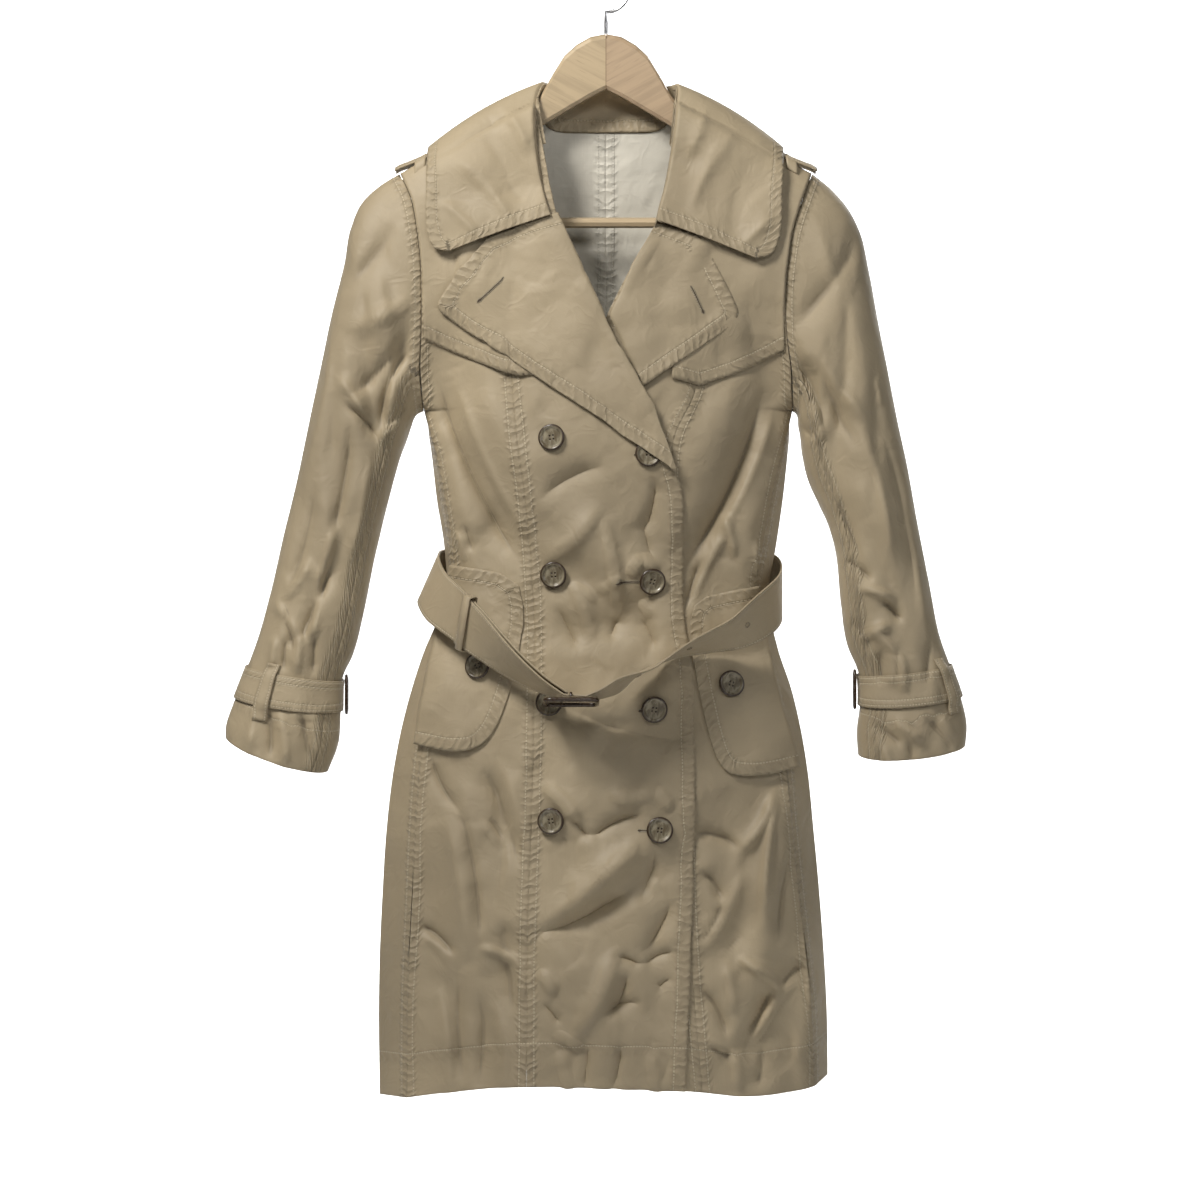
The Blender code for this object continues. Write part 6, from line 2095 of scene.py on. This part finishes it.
def make_stage():
    """Pale sweep, soft lights and the camera straight in front of the coat."""
    depth = (-6.0, -1.0, 5.0, 5.8, 6.3, 6.5, 6.5)
    level = (-1.5, -1.5, -1.5, -1.42, -1.1, -0.6, 3.2)
    rows = [[(x, y, z) for x in (-6.0, 6.0)] for y, z in zip(depth, level)]
    mesh = bpy.data.meshes.new("sweep")
    verts = [point for row in rows for point in row]
    faces = [(2 * i, 2 * i + 1, 2 * i + 3, 2 * i + 2) for i in range(len(rows) - 1)]
    mesh.from_pydata(verts, [], faces)
    mesh.shade_smooth()
    sweep = link("sweep", mesh)
    specked("pale_paper", 30.0, 2.0, (0.86, 0.86, 0.86), (0.9, 0.9, 0.9), (0.9, 0.9))
    sweep.data.materials.append(bpy.data.materials["pale_paper"])
    middle = (0.0, 0.0, -0.55)
    area_light("key", (-0.85, -1.05, 0.85), (0.0, 0.0, -0.35), (0.5, 0.5), 37.0,
               (1.0, 0.97, 0.92))
    area_light("fill", (1.9, -1.2, 0.1), middle, (0.7, 1.2), 6.5, (0.96, 0.98, 1.0))
    area_light("front", (0.25, -2.4, 0.7), (0.0, 0.0, -0.2), (0.5, 0.5), 10.5, (1.0, 0.98, 0.95))
    area_light("rear", (1.7, 2.4, 1.0), middle, (0.8, 0.8), 34.0, (1.0, 0.98, 0.95))
    area_light("back_left", (-2.4, 4.6, 1.4), (-0.4, 6.5, -0.3), (1.4, 1.4), 190.0, (1.0, 1.0, 1.0))
    area_light("back_right", (2.4, 4.6, 1.4), (0.4, 6.5, -0.3), (1.4, 1.4), 190.0, (1.0, 1.0, 1.0))
    sky = bpy.data.worlds.new("studio")
    sky.use_nodes = True
    sky.node_tree.nodes["Background"].inputs[0].default_value = (0.95, 0.97, 1.0, 1.0)
    sky.node_tree.nodes["Background"].inputs[1].default_value = 0.06
    bpy.context.scene.world = sky
    lens = bpy.data.cameras.new("camera")
    lens.lens = 152.2
    lens.sensor_width = 36.0
    camera = link("camera", lens)
    camera.location = (-0.0054, -4.6, -0.573)
    camera.rotation_euler = (math.pi / 2, 0.0, 0.0)
    bpy.context.scene.camera = camera
    bpy.context.scene.view_settings.view_transform = "Standard"


# ---- the add-on


class CoatSizes(bpy.types.PropertyGroup):
    """Sizes that may be changed before the coat is made."""

    front_step: FloatProperty(
        name="Front mesh step", description="Distance between the rows of the fronts' meshes",
        default=0.0024, min=0.001, max=0.01, unit="LENGTH")
    sleeve_step: FloatProperty(
        name="Sleeve mesh step", description="Distance between the rows of the sleeves' meshes",
        default=0.0027, min=0.001, max=0.01, unit="LENGTH")
    back_step: FloatProperty(
        name="Back mesh step", description="Distance between the rows of the back's meshes",
        default=0.0033, min=0.001, max=0.01, unit="LENGTH")
    flap_step: FloatProperty(
        name="Flap mesh step", description="Distance between the rows of flaps, collar and belt",
        default=0.0024, min=0.001, max=0.01, unit="LENGTH")


def colour_property(name, words, colour):
    return FloatVectorProperty(name=name, description=words, default=colour, subtype="COLOR",
                               size=3, min=0.0, max=1.0)


class CoatColours(bpy.types.PropertyGroup):
    """Colours of the coat's cloth, thread and hanger."""

    cloth: colour_property("Cloth", "Right side of the cloth", (0.36, 0.292, 0.19))
    thread: colour_property("Thread", "Sewing thread", (0.60, 0.52, 0.37))
    wrong_side: colour_property("Wrong side", "Silvery inside of the cloth", (0.64, 0.61, 0.53))
    wood: colour_property("Wood", "Beech of the hanger", (0.465, 0.36, 0.225))


def sizes_in_mm(context, name):
    return getattr(context.scene.coat_sizes, name) / MM


class COAT_OT_fronts(bpy.types.Operator):
    """Make the two centre fronts and the two side fronts."""

    bl_idname = "coat.fronts"
    bl_label = "Fronts"

    def execute(self, context):
        make_fronts(sizes_in_mm(context, "front_step"))
        return {"FINISHED"}


class COAT_OT_backs(bpy.types.Operator):
    """Make the two halves of the back."""

    bl_idname = "coat.backs"
    bl_label = "Backs"

    def execute(self, context):
        make_backs(sizes_in_mm(context, "back_step"))
        return {"FINISHED"}


class COAT_OT_sleeves(bpy.types.Operator):
    """Make both sleeves from their upper and under panels."""

    bl_idname = "coat.sleeves"
    bl_label = "Sleeves"

    def execute(self, context):
        make_sleeves(sizes_in_mm(context, "sleeve_step"))
        return {"FINISHED"}


class COAT_OT_storm_flaps(bpy.types.Operator):
    """Make the loose flaps over the chest."""

    bl_idname = "coat.storm_flaps"
    bl_label = "Storm flaps"

    def execute(self, context):
        make_storm_flaps(sizes_in_mm(context, "flap_step"))
        return {"FINISHED"}


class COAT_OT_lapels(bpy.types.Operator):
    """Make the lapels with their buttonholes."""

    bl_idname = "coat.lapels"
    bl_label = "Lapels"

    def execute(self, context):
        make_lapels(sizes_in_mm(context, "flap_step"))
        return {"FINISHED"}


class COAT_OT_pocket_flaps(bpy.types.Operator):
    """Make the flaps of the pockets."""

    bl_idname = "coat.pocket_flaps"
    bl_label = "Pocket flaps"

    def execute(self, context):
        make_pocket_flaps(sizes_in_mm(context, "flap_step"))
        return {"FINISHED"}


class COAT_OT_collar(bpy.types.Operator):
    """Make the collar's fall and its stand."""

    bl_idname = "coat.collar"
    bl_label = "Collar"

    def execute(self, context):
        make_collar(sizes_in_mm(context, "flap_step"))
        return {"FINISHED"}


class COAT_OT_belt(bpy.types.Operator):
    """Make the belt with its keeper, loops and eyelets."""

    bl_idname = "coat.belt"
    bl_label = "Belt"

    def execute(self, context):
        make_belt(sizes_in_mm(context, "flap_step"))
        return {"FINISHED"}


class COAT_OT_epaulettes(bpy.types.Operator):
    """Make the shoulder straps and their loops."""

    bl_idname = "coat.epaulettes"
    bl_label = "Epaulettes"

    def execute(self, context):
        make_epaulettes(sizes_in_mm(context, "flap_step"))
        return {"FINISHED"}


class COAT_OT_cuffs(bpy.types.Operator):
    """Make the cuff straps and their loops."""

    bl_idname = "coat.cuffs"
    bl_label = "Cuffs"

    def execute(self, context):
        make_cuffs(sizes_in_mm(context, "flap_step"))
        return {"FINISHED"}


class COAT_OT_buckles(bpy.types.Operator):
    """Make the belt's buckle and the cuff straps' frames."""

    bl_idname = "coat.buckles"
    bl_label = "Buckles"

    def execute(self, context):
        make_buckles()
        return {"FINISHED"}


class COAT_OT_buttons(bpy.types.Operator):
    """Make the ten buttons."""

    bl_idname = "coat.buttons"
    bl_label = "Buttons"

    def execute(self, context):
        make_buttons()
        return {"FINISHED"}


class COAT_OT_hanger(bpy.types.Operator):
    """Finish the wooden hanger and its steel hook."""

    bl_idname = "coat.hanger"
    bl_label = "Hanger"

    def execute(self, context):
        make_hanger()
        return {"FINISHED"}


class COAT_OT_stage(bpy.types.Operator):
    """Make the sweep, the lights and the camera."""

    bl_idname = "coat.stage"
    bl_label = "Stage"

    def execute(self, context):
        make_stage()
        return {"FINISHED"}


OPERATORS = [
    COAT_OT_fronts,
    COAT_OT_backs,
    COAT_OT_sleeves,
    COAT_OT_storm_flaps,
    COAT_OT_lapels,
    COAT_OT_pocket_flaps,
    COAT_OT_collar,
    COAT_OT_belt,
    COAT_OT_epaulettes,
    COAT_OT_cuffs,
    COAT_OT_buckles,
    COAT_OT_buttons,
    COAT_OT_hanger,
    COAT_OT_stage,
]


class COAT_PT_panel(bpy.types.Panel):
    """Lists the coat's sizes and its operators."""

    bl_label = "Trench coat"
    bl_space_type = "VIEW_3D"
    bl_region_type = "UI"
    bl_category = "Coat"

    def draw(self, context):
        for name in ("front_step", "sleeve_step", "back_step", "flap_step"):
            self.layout.prop(context.scene.coat_sizes, name)
        for name in ("cloth", "thread", "wrong_side", "wood"):
            self.layout.prop(context.scene.coat_colours, name)
        for kind in OPERATORS:
            self.layout.operator(kind.bl_idname)


CLASSES = [CoatSizes, CoatColours, *OPERATORS, COAT_PT_panel]


def register():
    for kind in CLASSES:
        bpy.utils.register_class(kind)
    bpy.types.Scene.coat_sizes = PointerProperty(type=CoatSizes)
    bpy.types.Scene.coat_colours = PointerProperty(type=CoatColours)


def unregister():
    del bpy.types.Scene.coat_colours
    del bpy.types.Scene.coat_sizes
    for kind in reversed(CLASSES):
        bpy.utils.unregister_class(kind)


def main():
    """Register the add-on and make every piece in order."""
    register()
    for kind in OPERATORS:
        getattr(bpy.ops.coat, kind.bl_idname.split(".")[1])()


if __name__ == "__main__":
    main()
